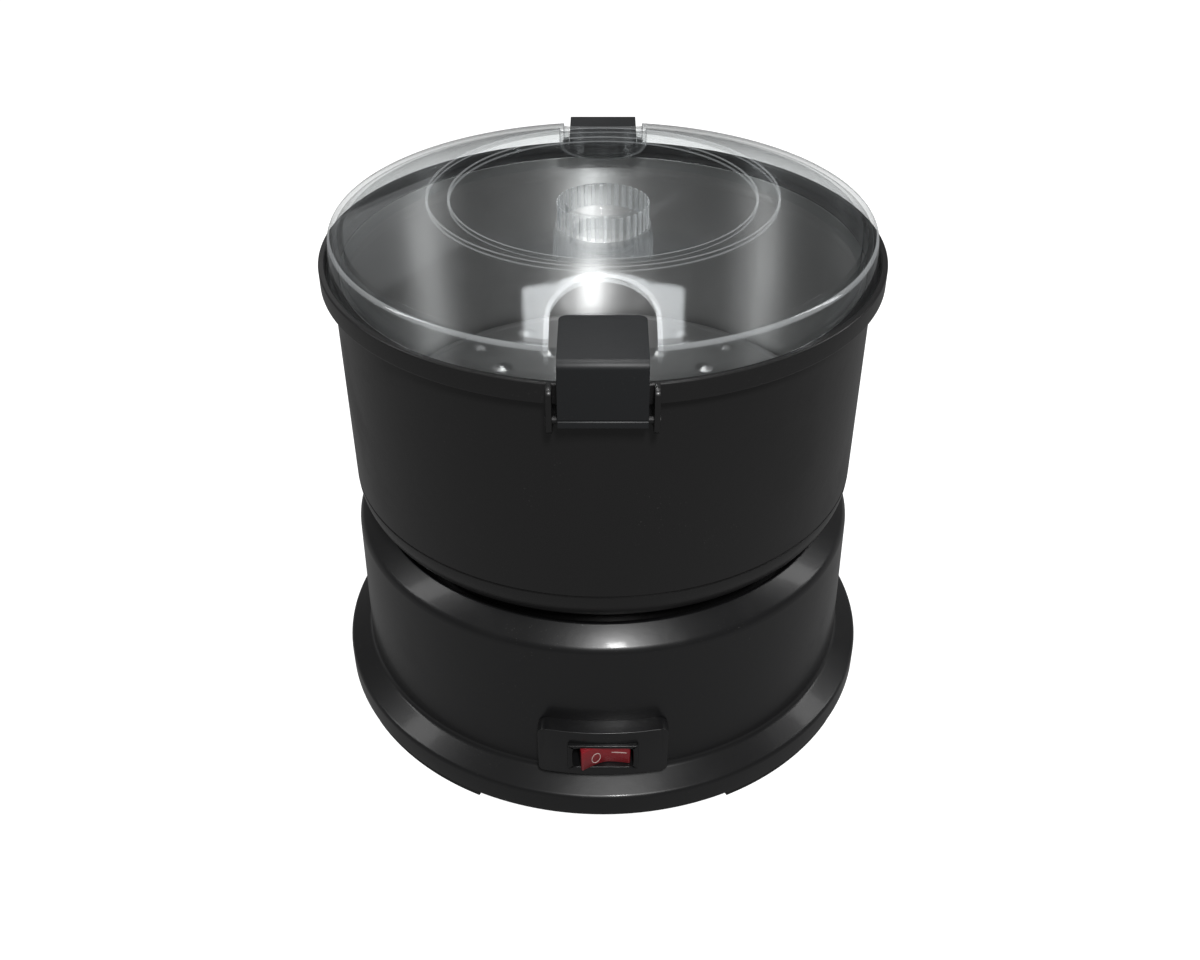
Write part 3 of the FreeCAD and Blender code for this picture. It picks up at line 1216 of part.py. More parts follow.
def make_latch(name, turn):
    body = new_body(f"{name}_latch")
    side = new_sketch(body, f"{name}_latch_side", "YZ_Plane", level="-latch_half")
    outline(side, [
        ("-latch_tip", "latch_top"), ("-latch_face", "latch_top", "latch_bend"),
        ("-latch_face", "latch_foot", "latch_hem"), ("-(latch_face - latch_thick)", "latch_foot"),
        ("-(latch_face - latch_thick)", "latch_top - latch_thick", "latch_bend / 4"),
        ("-latch_tip", "latch_top - latch_thick")])
    plate = pad(body, f"{name}_latch_plate", side, "2 * latch_half")
    round_edges(body, f"{name}_latch_corners", plate, "latch_corner", is_latch_tip)
    rod(body, f"{name}_latch_barrel", ("-latch_half", "-hinge_back", "hinge_level"), "barrel_radius",
        "2 * latch_half", along="x")
    rod(body, f"{name}_latch_bore", ("-latch_half", "-hinge_back", "hinge_level"),
        "pin_radius + running", "2 * latch_half", along="x", cut=True)
    body.Placement = FreeCAD.Placement(FreeCAD.Vector(), FreeCAD.Rotation(FreeCAD.Vector(0, 0, 1), turn))
    node(body, f"{name}_latch")

    pin = new_body(f"{name}_latch_pin")
    rod(pin, f"{name}_pin_rod", ("-ear_outer", "-hinge_back", "hinge_level"), "pin_radius",
        "2 * ear_outer", along="x")
    pin.Placement = FreeCAD.Placement(FreeCAD.Vector(), FreeCAD.Rotation(FreeCAD.Vector(0, 0, 1), turn))
    node(pin, f"{name}_latch_pin")


def is_latch_tip(bounds):
    """The upright edges at the two corners of a latch's tip."""
    return abs(bounds.YMin + number("latch_tip")) < 0.01 and bounds.XLength < 0.01


# Rear of the base

def make_rear_fittings():
    inner = "gland_seat - gland_depth"
    body = new_body("cord_gland")
    rod(body, "gland_head", ("0", "gland_seat", "gland_level"), "gland_head", "gland_proud", along="y")
    rod(body, "gland_body", ("0", inner, "gland_level"), "gland_radius", "gland_depth", along="y")
    rod(body, "gland_bore", ("0", inner, "gland_level"), "gland_bore", "gland_depth + gland_proud",
        along="y", cut=True)
    node(body, "cord_gland")
    body = new_body("terminal_block")
    plate_block(body, "terminal")
    for index, sign in enumerate("-+"):
        entry = (f"terminal_across {sign} terminal_pitch / 2", "terminal_back - terminal_deep / 2",
                 "plate_top + terminal_high / 2")
        rod(body, f"terminal_entry_{index}", entry, "terminal_bore", "terminal_deep", along="y", cut=True)
    node(body, "terminal_block")
    body = new_body("filter_capacitor")
    plate_block(body, "capacitor")
    node(body, "filter_capacitor")


def plate_block(body, name):
    """A block on the base plate, from the sizes that start with its name."""
    box(body, f"{name}_block",
        (f"{name}_across - {name}_long / 2", f"{name}_back - {name}_deep / 2", "plate_top"),
        (f"{name}_across + {name}_long / 2", f"{name}_back + {name}_deep / 2",
         f"plate_top + {name}_high"))


def make_all():
    make_base_housing()
    make_base_plate()
    for name in FOOT_NAMES:
        make_foot(name)
    screw_group("plate_screws", POSTS, "foot_rise")
    make_switch()
    make_gearbox()
    make_gears()
    make_motor()
    make_output()
    make_bowl()
    make_bowl_fittings()
    make_disc()
    make_lid()
    make_latch("front", 0)
    make_latch("back", 180)
    make_rear_fittings()


def export_all():
    """Check every object, then write each sub-part to its own file."""
    doc.recompute()
    for thing in doc.Objects:
        if "Invalid" in thing.State or "Error" in thing.State:
            raise ValueError(f"{thing.Name} failed: {thing.State}")
    for thing in NODES:
        if thing.Shape.isNull() or not thing.Shape.isValid():
            raise ValueError(f"{thing.Label} has no valid shape")
        if not thing.Shape.Solids:
            raise ValueError(f"{thing.Label} has no solid")
    os.makedirs("parts", exist_ok=True)
    for thing in NODES:
        thing.Shape.exportStep(f"parts/{thing.Label}.step")
        bounds = thing.Shape.BoundBox
        print(f"{thing.Label}: {len(thing.Shape.Solids)} solids, z {bounds.ZMin:.2f} to {bounds.ZMax:.2f}")


make_all()
export_all()
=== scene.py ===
import math

import bmesh
import bpy
from mathutils import Matrix, Vector


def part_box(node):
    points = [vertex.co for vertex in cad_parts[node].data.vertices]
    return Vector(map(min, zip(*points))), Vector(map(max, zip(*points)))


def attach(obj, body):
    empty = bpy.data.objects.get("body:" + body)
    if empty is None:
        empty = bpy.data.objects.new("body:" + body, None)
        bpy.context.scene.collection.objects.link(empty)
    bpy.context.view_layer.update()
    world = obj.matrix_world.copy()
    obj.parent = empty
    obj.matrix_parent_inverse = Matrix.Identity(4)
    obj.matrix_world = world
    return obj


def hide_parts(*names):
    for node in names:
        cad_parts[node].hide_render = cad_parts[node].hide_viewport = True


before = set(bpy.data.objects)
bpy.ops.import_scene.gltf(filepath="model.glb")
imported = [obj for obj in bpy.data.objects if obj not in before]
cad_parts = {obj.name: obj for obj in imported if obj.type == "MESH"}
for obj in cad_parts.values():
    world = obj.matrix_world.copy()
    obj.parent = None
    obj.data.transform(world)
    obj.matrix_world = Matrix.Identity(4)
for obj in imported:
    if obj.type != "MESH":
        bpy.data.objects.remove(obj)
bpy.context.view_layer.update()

# An electric potato peeler: a glossy black base with a red rocker switch, a satin black bowl lined
# with steel, a peeling disc, and a clear lid held by two black latches. Lengths are in metres.

bl_info = {
    "name": "Potato peeler",
    "version": (1, 0, 0),
    "blender": (4, 5, 0),
    "location": "View3D > Sidebar > Peeler",
    "description": "Models and dresses a tabletop potato peeler round its packed frame",
    "category": "Object",
}

# Places read from the frame
BASE_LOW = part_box("base_housing")[0]
BOWL_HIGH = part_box("bowl")[1]
LINER_LOW, LINER_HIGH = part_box("bowl_liner")
DISC_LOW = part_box("peeling_disc")[0]
NUT_LOW, NUT_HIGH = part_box("disc_nut")
LATCH_LOW, LATCH_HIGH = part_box("front_latch")
SWITCH_LOW, SWITCH_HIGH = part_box("switch_frame")
GLAND_LOW, GLAND_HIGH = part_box("cord_gland")

STEPS = 192              # divisions round a turned piece
LID_STEPS = 216          # six for each rib of the knob
CLOSE = 2e-6             # points nearer than this are the same
ROUND = 2 * math.pi
PLAY = 0.0003            # between the switch and its recess
PAST = 0.0005            # how far a cutting shape reaches past what it cuts
GLAND_SEAT = 0.1234      # how far from the axis the gland's head lies on its pad
GLAND_BODY = 0.0065      # radius of the gland in the wall
GLAND_BORE = 0.0036
GLAND_LEVEL = (GLAND_LOW.z + GLAND_HIGH.z) / 2
BEAD_LEVEL = 0.2108      # height of the bead in the liner
BEAD_DEEP = 0.0004
BEAD_HALF = 0.0008
LINER_WALL = 0.0006
PIN_HOLE = 0.0015        # radius of the holes in the ears


# Properties

def length(name, description, default):
    return bpy.props.FloatProperty(name=name, description=description, default=default, min=0.0,
                                   precision=5, unit="LENGTH")


def lengths(group):
    """Turn what a group writes as a description and metres into its length properties."""
    for name, value in list(vars(group).items()):
        if isinstance(value, tuple) and not name.startswith("_"):
            delattr(group, name)
            group.__annotations__[name] = length(name.replace("_", " ").capitalize(), *value)
    return group


def colour(name, description, default):
    return bpy.props.FloatVectorProperty(name=name, description=description, default=default,
                                         size=3, min=0.0, max=1.0, subtype="COLOR")


@lengths
class PeelerBase(bpy.types.PropertyGroup):
    flange = "Radius of the flange at the foot", 0.133
    skirt_top = "Height where the flange's upright side ends", 0.015
    wall_foot = "Radius of the wall at its foot", 0.1216
    wall_foot_level = "Height where the flange meets the wall", 0.0214
    wall_top = "Radius of the wall at the shoulder", 0.1202
    shoulder_level = "Height of the corner inside the shoulder", 0.0918
    shoulder_round = "Rounding of the shoulder", 0.006
    mouth = "Radius of the edge of the mouth", 0.1101
    mouth_level = "Height of the edge of the mouth", 0.0999
    well = "Radius of the well inside the mouth", 0.108
    deck = "Height of the deck in the well", 0.091
    wall = "Thickness of the housing", 0.003
    ring = "Outer radius of the ring that centres the bowl", 0.0967
    ring_rise = "Height of that ring", 0.004
    boss = "Radius of the shaft boss", 0.014
    boss_bore = "Radius of the bore in the shaft boss", 0.0086
    boss_rise = "Height of the shaft boss", 0.0035
    panel_half = "Half width of the switch panel", 0.029
    panel_face = "Radius of the switch panel's curved face", 0.1285
    panel_bottom = "Underside of the switch panel", 0.0255
    panel_top = "Top of the switch panel", 0.052
    panel_round = "Rounding of the panel's upper corners", 0.0042
    panel_edge = "Rounding of the panel's front edge", 0.0011
    window_half = "Half width of the window behind the switch", 0.0148
    window_foot = "Lower edge of that window", 0.0313
    window_top = "Upper edge of that window", 0.0449
    window_back = "Distance of that window's inner end from the axis", 0.111
    gland_pad = "Radius of the pad under the cord gland", 0.0105


@lengths
class PeelerSwitch(bpy.types.PropertyGroup):
    rim = "Width of the bezel's rim", 0.0016
    opening_half = "Half width of the opening in the bezel", 0.0134
    depth = "Depth of the opening", 0.0132
    bezel_thick = "Thickness of the bezel", 0.0025
    bezel_round = "Rounding of the bezel's front edges", 0.0004
    case_step = "Rounding of the bezel's corners and step to the case behind it", 0.0009
    rocker_half = "Half width of the rocker", 0.0112
    rocker_high = "Height of the rocker", 0.011
    rocker_end = "Reach of the rocker's ends ahead of its pivot", 0.0072
    rocker_middle = "Reach of the rocker's middle ahead of its pivot", 0.0037
    rocker_root = "Half width of the rocker's root", 0.004
    rocker_deep = "Depth of the rocker behind its pivot", 0.0055
    pivot = "Distance of the rocker's pivot from the axis", 0.1236
    level = "Height of the rocker's pivot", 0.0381
    tilt: bpy.props.FloatProperty(name="Tilt", description="Tilt of the rocker at rest",
                                  default=math.radians(12), subtype="ANGLE")
    mark = "Radius of the ring mark", 0.0026
    mark_line = "Thickness of the marks' lines", 0.00042


@lengths
class PeelerBowl(bpy.types.PropertyGroup):
    radius = "Outer radius of the bowl's wall", 0.1184
    wall = "Thickness of the bowl's wall", 0.003
    floor = "Underside of the bowl's floor", 0.1025
    foot_round = "Rounding at the foot of the bowl", 0.0175
    groove = "Height of the fine groove", 0.1206
    groove_deep = "Depth of the fine groove", 0.0006
    lip = "Outer radius of the lip", 0.1235
    lip_foot = "Underside of the lip", 0.2165
    rim = "Height of the rim", 0.2255
    seat = "Radius of the seat for the lid in the lip", 0.1207
    seat_level = "Height of that seat", 0.2205
    edge = "Rounding of the lip", 0.0009
    neck = "Outer radius of the neck under the bowl", 0.1
    neck_foot = "Lower edge of the neck", 0.0913
    hub = "Radius of the hub in the floor", 0.018
    hub_bore = "Radius of the hub's bore", 0.014
    hub_top = "Top of the hub", 0.118
    hub_foot = "Underside of the hub", 0.1005
    ear_inner = "Distance of an ear's inner side from the middle", 0.01865
    ear_outer = "Distance of an ear's outer side from the middle", 0.02085
    ear_reach = "Distance of an ear's outer face from the axis", 0.1274
    ear_foot = "Lower end of an ear", 0.204
    ear_round = "Rounding of an ear's corners", 0.003
    ear_boss = "Radius of the boss round a latch pin", 0.0024
    ear_boss_rise = "How far that boss stands out", 0.0004


@lengths
class PeelerDisc(bpy.types.PropertyGroup):
    radius = "Radius of the disc", 0.1116
    bottom = "Underside of the disc", 0.1276
    top = "Top of the disc", 0.131
    hub = "Radius of the hub under the disc", 0.019
    spigot = "Radius of the hole for the spindle's thread", 0.006
    spindle = "Radius of the seat for the spindle", 0.011
    rim_wide = "Width of the raised rim", 0.003
    rim_rise = "Height of the raised rim", 0.0006
    bump = "Radius of a bump", 0.0046
    bump_rise = "Height of a bump", 0.0014
    nut_half = "Half width of the nut across its flats", 0.0095
    nut_high = "Height of the nut's hexagon", 0.0052
    dome = "Radius of the nut's domed cap", 0.0078


@lengths
class PeelerLid(bpy.types.PropertyGroup):
    foot = "Outer radius of the lid's foot", 0.1202
    foot_level = "Height of the lid's foot on its seat", 0.2208
    edge = "Radius of the lid's upper edge", 0.1182
    edge_level = "Height of the lid's upper edge", 0.2373
    edge_round = "Rounding of the lid's edge", 0.0028
    wall = "Thickness of the lid", 0.002
    crest_outer = "Outer radius of the crest", 0.0758
    crest_inner = "Inner radius of the crest", 0.066
    crest_level = "Height of the crest", 0.2494
    crest_dip = "Fall of the crest towards its inner edge", 0.0011
    crest_round = "Rounding of the crest", 0.003
    dish = "Height of the dished middle", 0.2335
    collar = "Outer radius of the collar", 0.1141
    collar_foot = "Lower edge of the collar", 0.216
    knob = "Radius of the knob between its ribs", 0.0192
    knob_bore = "Radius of the hollow of the knob", 0.0165
    knob_top = "Height of the knob's edge", 0.2447
    rib_rise = "How far a rib stands out", 0.0009
    boss = "Outer radius of the boss under the knob", 0.0147
    pocket_half = "Half width of a latch pocket", 0.0198
    pocket_centre = "Distance of a pocket's round end centre", 0.101
    pocket_floor = "Height of a pocket's floor", 0.2339
    tab_drop = "Fall of a pocket's corner tabs below its floor", 0.0055
    notch_half = "Half width of the notch at a latch", 0.0174
    notch_edge = "Distance of the pocket floor's outer edge", 0.111


@lengths
class PeelerLatch(bpy.types.PropertyGroup):
    thick = "Thickness of a latch", 0.0028
    bend = "Outer rounding of a latch's bend", 0.0032
    corner = "Rounding of the corners at a latch's tip", 0.0034
    edge = "Rounding of a latch's edges", 0.0004
    foot = "Lower edge of the latch's plate", 0.2094
    groove_rise = "Height of the fine groove over the foot", 0.0032
    groove_deep = "Depth of the fine groove", 0.00035
    hinge_back = "Distance of the hinge from the axis", 0.1242
    hinge_level = "Height of the hinge", 0.2116
    barrel = "Radius of the barrel round the hinge", 0.0032
    bore = "Radius of the bore for the pin", 0.00155


class PeelerColours(bpy.types.PropertyGroup):
    base: colour("Base", "Glossy black of the base", (0.0085, 0.0085, 0.009))
    bowl: colour("Bowl", "Satin black of the bowl", (0.009, 0.0088, 0.009))
    latch: colour("Latch", "Black of the latches", (0.009, 0.0098, 0.011))
    rocker: colour("Rocker", "Red of the rocker", (0.30, 0.014, 0.022))
    mark: colour("Marks", "White of the rocker's marks", (0.78, 0.62, 0.58))
    steel: colour("Steel", "Stainless sheet", (0.60, 0.60, 0.60))
    rubber: colour("Rubber", "Black rubber", (0.012, 0.012, 0.012))
    gear: colour("Gears", "Natural gear plastic", (0.78, 0.76, 0.70))
    bronze: colour("Bronze", "Sintered bronze", (0.52, 0.33, 0.15))
    floor: colour("Floor", "Pale floor", (0.4, 0.4, 0.4))


FINISHES = {}            # the materials by name, filled by make_finishes


# Modelling helpers

def rest():
    """Object mode with nothing selected."""
    if bpy.context.object and bpy.context.object.mode != "OBJECT":
        bpy.ops.object.mode_set(mode="OBJECT")
    bpy.ops.object.select_all(action="DESELECT")


def take(piece):
    """Select one piece alone and make it the active one."""
    rest()
    piece.select_set(True)
    bpy.context.view_layer.objects.active = piece


def settle():
    """Put the active object's place, turn and scale into its mesh."""
    bpy.ops.object.transform_apply(location=True, rotation=True, scale=True)


def edit(piece):
    take(piece)
    bpy.ops.object.mode_set(mode="EDIT")
    bpy.ops.mesh.select_mode(type="VERT")


def named(name):
    piece = bpy.context.object
    piece.name = name
    piece.data.name = name
    return piece


def choose(piece, wanted, kind="VERT"):
    """Select the vertices, edges or faces of a piece in edit mode that pass a test."""
    bpy.ops.mesh.select_mode(type=kind)
    bpy.ops.mesh.select_all(action="DESELECT")
    mesh = bmesh.from_edit_mesh(piece.data)
    parts = {"VERT": mesh.verts, "EDGE": mesh.edges, "FACE": mesh.faces}[kind]
    for part in parts:
        if wanted(part):
            part.select_set(True)
    mesh.select_flush_mode()
    bmesh.update_edit_mesh(piece.data)


def middle(edge):
    return (edge.verts[0].co + edge.verts[1].co) / 2


def along(edge):
    return (edge.verts[1].co - edge.verts[0].co).normalized()


def round_edges(piece, wanted, width, segments, clamp=False):
    """Bevel the edges that pass a test, in edit mode."""
    choose(piece, wanted, "EDGE")
    bpy.ops.mesh.bevel(offset=width, segments=segments, affect="EDGES", clamp_overlap=clamp)


def wire(name, corners):
    """A closed line through (x, y, z) or (x, y, z, rounding) corners, left in edit mode."""
    rest()
    places = [Vector(corner[:3]) for corner in corners]
    bpy.ops.mesh.primitive_plane_add(size=0.001, location=places[0])
    piece = named(name)
    settle()
    edit(piece)
    bpy.ops.mesh.select_all(action="SELECT")
    bpy.ops.mesh.merge(type="CENTER")
    for before, after in zip(places, places[1:]):
        bpy.ops.mesh.extrude_vertices_move(TRANSFORM_OT_translate={"value": after - before})
    ends = (places[0], places[-1])
    choose(piece, lambda vertex: min((vertex.co - end).length for end in ends) < CLOSE)
    bpy.ops.mesh.edge_face_add()
    for index, corner in enumerate(corners):
        if len(corner) == 4:
            round_corner(piece, places, index, corner[3])
    return piece


def round_corner(piece, places, index, radius):
    """Round one corner of a line to a radius."""
    corner = places[index]
    before = (places[index - 1] - corner).normalized()
    after = (places[(index + 1) % len(places)] - corner).normalized()
    half = before.angle(after) / 2
    segments = max(2, min(14, round((math.pi - 2 * half) / math.radians(9))))
    choose(piece, lambda vertex: (vertex.co - corner).length < CLOSE)
    bpy.ops.mesh.bevel(offset_type="ABSOLUTE", offset=radius / math.tan(half), segments=segments,
                       profile=0.5, affect="VERTICES", clamp_overlap=False)


def lathe(name, outline, steps=STEPS, axis=(0, 0, 1), centre=(0, 0, 0), along_y=False):
    """Turn a closed outline of (radius, height) or (radius, height, rounding) points about an axis."""
    corners = []
    for point in outline:
        radius, height = point[:2]
        place = (radius, height, 0) if along_y else (radius, 0, height)
        corners.append(tuple(Vector(place) + Vector(centre)) + tuple(point[2:]))
    piece = wire(name, corners)
    bpy.ops.mesh.select_all(action="SELECT")
    bpy.ops.mesh.spin(steps=steps, angle=ROUND, center=centre, axis=axis)
    heal(piece)
    return piece


def slab(name, corners, push):
    """A plate: a closed line of corners, filled and pushed along a vector."""
    piece = wire(name, corners)
    bpy.ops.mesh.select_all(action="SELECT")
    bpy.ops.mesh.edge_face_add()
    bpy.ops.mesh.extrude_region_move(TRANSFORM_OT_translate={"value": push})
    heal(piece)
    return piece


def block(name, low, high):
    """A box between two corners, for cutting and joining."""
    rest()
    size = [upper - lower for lower, upper in zip(low, high)]
    place = [(upper + lower) / 2 for lower, upper in zip(low, high)]
    bpy.ops.mesh.primitive_cube_add(size=1, location=place, scale=size)
    piece = named(name)
    settle()
    return piece


def rod(name, centre, radius, long, axis="Z", steps=48):
    """A cylinder about its centre, for cutting and joining."""
    rest()
    turn = {"X": (0, math.pi / 2, 0), "Y": (math.pi / 2, 0, 0), "Z": (0, 0, 0)}[axis]
    bpy.ops.mesh.primitive_cylinder_add(vertices=steps, radius=radius, depth=long, location=centre,
                                        rotation=turn)
    piece = named(name)
    settle()
    return piece


def heal(piece):
    """Merge doubles, turn all faces outwards and go back to object mode."""
    edit(piece)
    bpy.ops.mesh.select_all(action="SELECT")
    bpy.ops.mesh.remove_doubles(threshold=CLOSE)
    bpy.ops.mesh.normals_make_consistent(inside=False)
    bpy.ops.object.mode_set(mode="OBJECT")


def apply(piece, modifier):
    take(piece)
    bpy.ops.object.modifier_apply(modifier=modifier.name)


def unite(piece, other, operation="UNION"):
    """Join two closed pieces or keep a part of them, and drop the second."""
    take(piece)
    modifier = piece.modifiers.new(operation.lower(), "BOOLEAN")
    modifier.object = other
    modifier.operation = operation
    modifier.solver = "EXACT"
    apply(piece, modifier)
    bpy.data.objects.remove(other)
    return piece


def cut(piece, other):
    """Cut one closed piece with another."""
    return unite(piece, other, "DIFFERENCE")


def gather(name, pieces):
    """Join pieces that don't touch into one object."""
    take(pieces[0])
    for piece in pieces:
        piece.select_set(True)
    bpy.ops.object.join()
    return named(name)


def twin(piece, name, turn):
    """A copy of a piece with its own mesh, turned about the Z axis."""
    copy = piece.copy()
    copy.data = piece.data.copy()
    bpy.context.scene.collection.objects.link(copy)
    take(copy)
    named(name)
    copy.rotation_euler.z = turn
    settle()
    return copy


def soften(piece, width, segments=2, angle=40):
    """Bevel all edges that are sharper than an angle."""
    modifier = piece.modifiers.new("edges", "BEVEL")
    modifier.width = width
    modifier.segments = segments
    modifier.limit_method = "ANGLE"
    modifier.angle_limit = math.radians(angle)
    modifier.miter_outer = "MITER_ARC"
    apply(piece, modifier)


def finish(piece, material, body, nodes, angle=30):
    """Smooth a piece, give it its material, and hang it on its body in place of its nodes."""
    take(piece)
    bpy.ops.object.shade_smooth_by_angle(angle=math.radians(angle))
    piece.data.materials.clear()
    piece.data.materials.append(FINISHES[material])
    rest()
    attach(piece, body)
    if nodes:
        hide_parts(*nodes)
    return piece


# Materials

class Signal:
    """A socket of a shader tree, so that masks and amounts can be written as sums."""

    def __init__(self, paint, socket):
        self.paint = paint
        self.socket = socket

    def math(self, operation, *others):
        values = dict(enumerate((self,) + others))
        return self.paint.node("ShaderNodeMath", values, operation=operation)

    def __add__(self, other):
        return self.math("ADD", other)

    def __radd__(self, other):
        return self.math("ADD", other)

    def __sub__(self, other):
        return self.math("SUBTRACT", other)

    def __rsub__(self, other):
        return self.paint.node("ShaderNodeMath", {0: other, 1: self}, operation="SUBTRACT")

    def __mul__(self, other):
        return self.math("MULTIPLY", other)

    def __rmul__(self, other):
        return self.math("MULTIPLY", other)

    def __pow__(self, power):
        return self.math("POWER", power)

    def between(self, low, high):
        """0 below low and 1 above high, with a soft step between."""
        return self.paint.node("ShaderNodeMapRange", {"Value": self, "From Min": low, "From Max": high},
                               interpolation_type="SMOOTHSTEP")


class Paint:
    """A shader tree being written."""

    def __init__(self, owner):
        owner.use_nodes = True
        self.owner = owner
        self.tree = owner.node_tree
        self.tree.nodes.clear()

    def node(self, kind, values=(), output=0, **settings):
        """Add a node: its settings first, then numbers, colours or signals for its sockets."""
        made = self.tree.nodes.new(kind)
        for name, setting in settings.items():
            setattr(made, name, setting)
        for name, value in dict(values).items():
            socket = made.inputs[name]
            if isinstance(value, Signal):
                self.tree.links.new(value.socket, socket)
            elif socket.type == "RGBA" and len(value) == 3:
                socket.default_value = (*value, 1)
            else:
                socket.default_value = value
        return Signal(self, made.outputs[output])

    def place(self, scale=(1, 1, 1)):
        """Object coordinates, stretched."""
        coordinates = self.node("ShaderNodeTexCoord", output="Object")
        return self.node("ShaderNodeMapping", {"Vector": coordinates, "Scale": scale})

    def vector(self, operation, *values):
        """Vector arithmetic, or the length of a vector."""
        output = "Value" if operation == "LENGTH" else "Vector"
        return self.node("ShaderNodeVectorMath", dict(enumerate(values)), output, operation=operation)

    def noise(self, scale, detail=2.0, stretch=(1, 1, 1), roughness=0.5):
        values = {"Scale": scale, "Detail": detail, "Roughness": roughness}
        return self.node("ShaderNodeTexNoise", {"Vector": self.place(stretch), **values})

    def blend(self, factor, first, second):
        """Mix two colours."""
        return self.node("ShaderNodeMix", {0: factor, 6: first, 7: second}, output=2, data_type="RGBA")

    def bump(self, height, distance, strength=1.0):
        values = {"Height": height, "Distance": distance, "Strength": strength}
        return self.node("ShaderNodeBump", values)

    def surface(self, values):
        return self.node("ShaderNodeBsdfPrincipled", values)

    def done(self, shader, kind="ShaderNodeOutputMaterial"):
        output = self.tree.nodes.new(kind)
        self.tree.links.new(shader.socket, output.inputs["Surface"])
        return self.owner


def tint(base, amount):
    """A colour made lighter or darker by a factor."""
    return tuple(channel * amount for channel in base)


def paint(name):
    return Paint(bpy.data.materials.new(name))


def gloss_plastic(name, base, roughness, level=0.5, grain=0.00002, dust=0.35, coat=0.0):
    """Moulded plastic: a faint flow of colour, a fine grain, soft smudges and a little dust."""
    p = paint(name)
    flow = p.noise(9, 3, (1, 1, 0.35))
    smudge = p.noise(26, 4).between(0.48, 0.68)
    speck = p.noise(1500, 1).between(0.735, 0.76) * p.noise(38, 2).between(0.45, 0.7)
    body = p.blend(flow, tint(base, 0.75), tint(base, 1.3))
    body = p.blend(speck * dust, body, (0.16, 0.155, 0.15))
    fine = p.noise(1700, 2)
    peel = p.noise(240, 1)
    height = fine * 0.5 + peel
    values = {"Base Color": body, "Roughness": roughness + smudge * 0.07 + speck * 0.4,
              "Specular IOR Level": level, "Coat Weight": coat, "Coat Roughness": 0.09,
              "Normal": p.bump(height, grain)}
    return p.done(p.surface(values))


def clear_plastic(name):
    """Thin clear plastic: nearly unseen face on, with painted highlight lines along its edges, ribs and
    pocket walls.
    """
    s = bpy.context.scene.peeler_lid
    p = paint(name)
    spot = p.place()
    flat = p.vector("MULTIPLY", spot, (1, 1, 0))
    radius = p.vector("LENGTH", flat)
    height = p.node("ShaderNodeSeparateXYZ", {"Vector": spot}, output="Z")

    def band(value, centre, half):
        """1 within a distance of a value, with soft ends."""
        return 1 - (value - centre).math("ABSOLUTE").between(half * 0.6, half * 1.2)

    # Painted highlights: these masks paint whitish lines along the top of the rim, on the two crest
    # rings, over the knob and its ribs, and on the latch pockets' walls.
    high = height.between(s.edge_level - 0.0022, s.edge_level - 0.0012)
    rim = band(radius, s.edge - 0.0004, 0.0007) * high
    crest = band(radius, s.crest_outer - 0.0004, 0.0006) + band(radius, s.crest_inner + 0.0002, 0.0006)
    knob = 1 - radius.between(s.knob + 0.0015, s.knob + 0.0018)
    knob = knob * height.between(s.dish, s.dish + 0.001)
    ribs = radius.between(s.knob + 0.0002, s.knob + 0.0007) * knob
    beyond = p.vector("SUBTRACT", p.vector("ABSOLUTE", spot), (0, s.pocket_centre, 0))
    beyond = p.vector("MULTIPLY", p.vector("MINIMUM", beyond, (1, 0, 0)), (1, 1, 0))
    pocket = band(p.vector("LENGTH", beyond), s.pocket_half + s.wall / 2, s.wall / 2)
    pocket = pocket * height.between(s.pocket_floor - 0.006, s.pocket_floor)
    grazing = p.node("ShaderNodeLayerWeight", {"Blend": 0.5}, output="Facing") ** 5
    haze = p.noise(30, 4).between(0.5, 0.8)
    marks = p.noise(260, 2, (1, 14, 1)).between(0.66, 0.7) * p.noise(18, 2).between(0.5, 0.65)
    # edges adds up the painted highlight lines. Where it is high, the lid is less clear and less
    # metallic, so its pale colour shows as white lines.
    edges = (rim * 0.26 + crest * 0.13 + knob * 0.04 + ribs * 0.26 + pocket * 0.1).math("MINIMUM", 1)
    solid = 0.045 + grazing * 0.9 + edges + haze * 0.006
    glass = p.surface({"Base Color": p.blend(haze, (0.80, 0.83, 0.85), (0.88, 0.9, 0.9)),
                       "Roughness": 0.05 + haze * 0.03 + marks * 0.2,
                       "Metallic": 1 - (edges * 6).math("MINIMUM", 0.8),
                       "Normal": p.bump(p.noise(55, 1), 0.00006)})
    through = p.node("ShaderNodeBsdfTransparent", {"Color": (0.98, 0.985, 0.985)})
    return p.done(p.node("ShaderNodeMixShader", {0: solid.math("MINIMUM", 0.95), 1: through, 2: glass}))


def steel(name, base, roughness, stretch, lines=900, depth=0.00001, streak=0.0):
    """Rolled or turned steel with fine lines and faint stains, whose lights run across its lines."""
    p = paint(name)
    brush = p.noise(lines, 3, stretch)
    stain = p.noise(14, 4).between(0.4, 0.75)
    body = p.blend(stain, base, tint(base, 0.82))
    values = {"Base Color": body, "Metallic": 1.0, "Roughness": roughness + brush * 0.12 + stain * 0.05,
              "Anisotropic": streak, "Anisotropic Rotation": 0.25, "Normal": p.bump(brush, depth)}
    return p.done(p.surface(values))


def soft_rubber(name, base):
    """Matte rubber with a fine open grain."""
    p = paint(name)
    grain = p.noise(1200, 2)
    wear = p.noise(40, 3).between(0.5, 0.75)
    body = p.blend(wear, base, tint(base, 2.2))
    return p.done(p.surface({"Base Color": body, "Roughness": 0.72 + wear * 0.15,
                             "Normal": p.bump(grain, 0.00005)}))


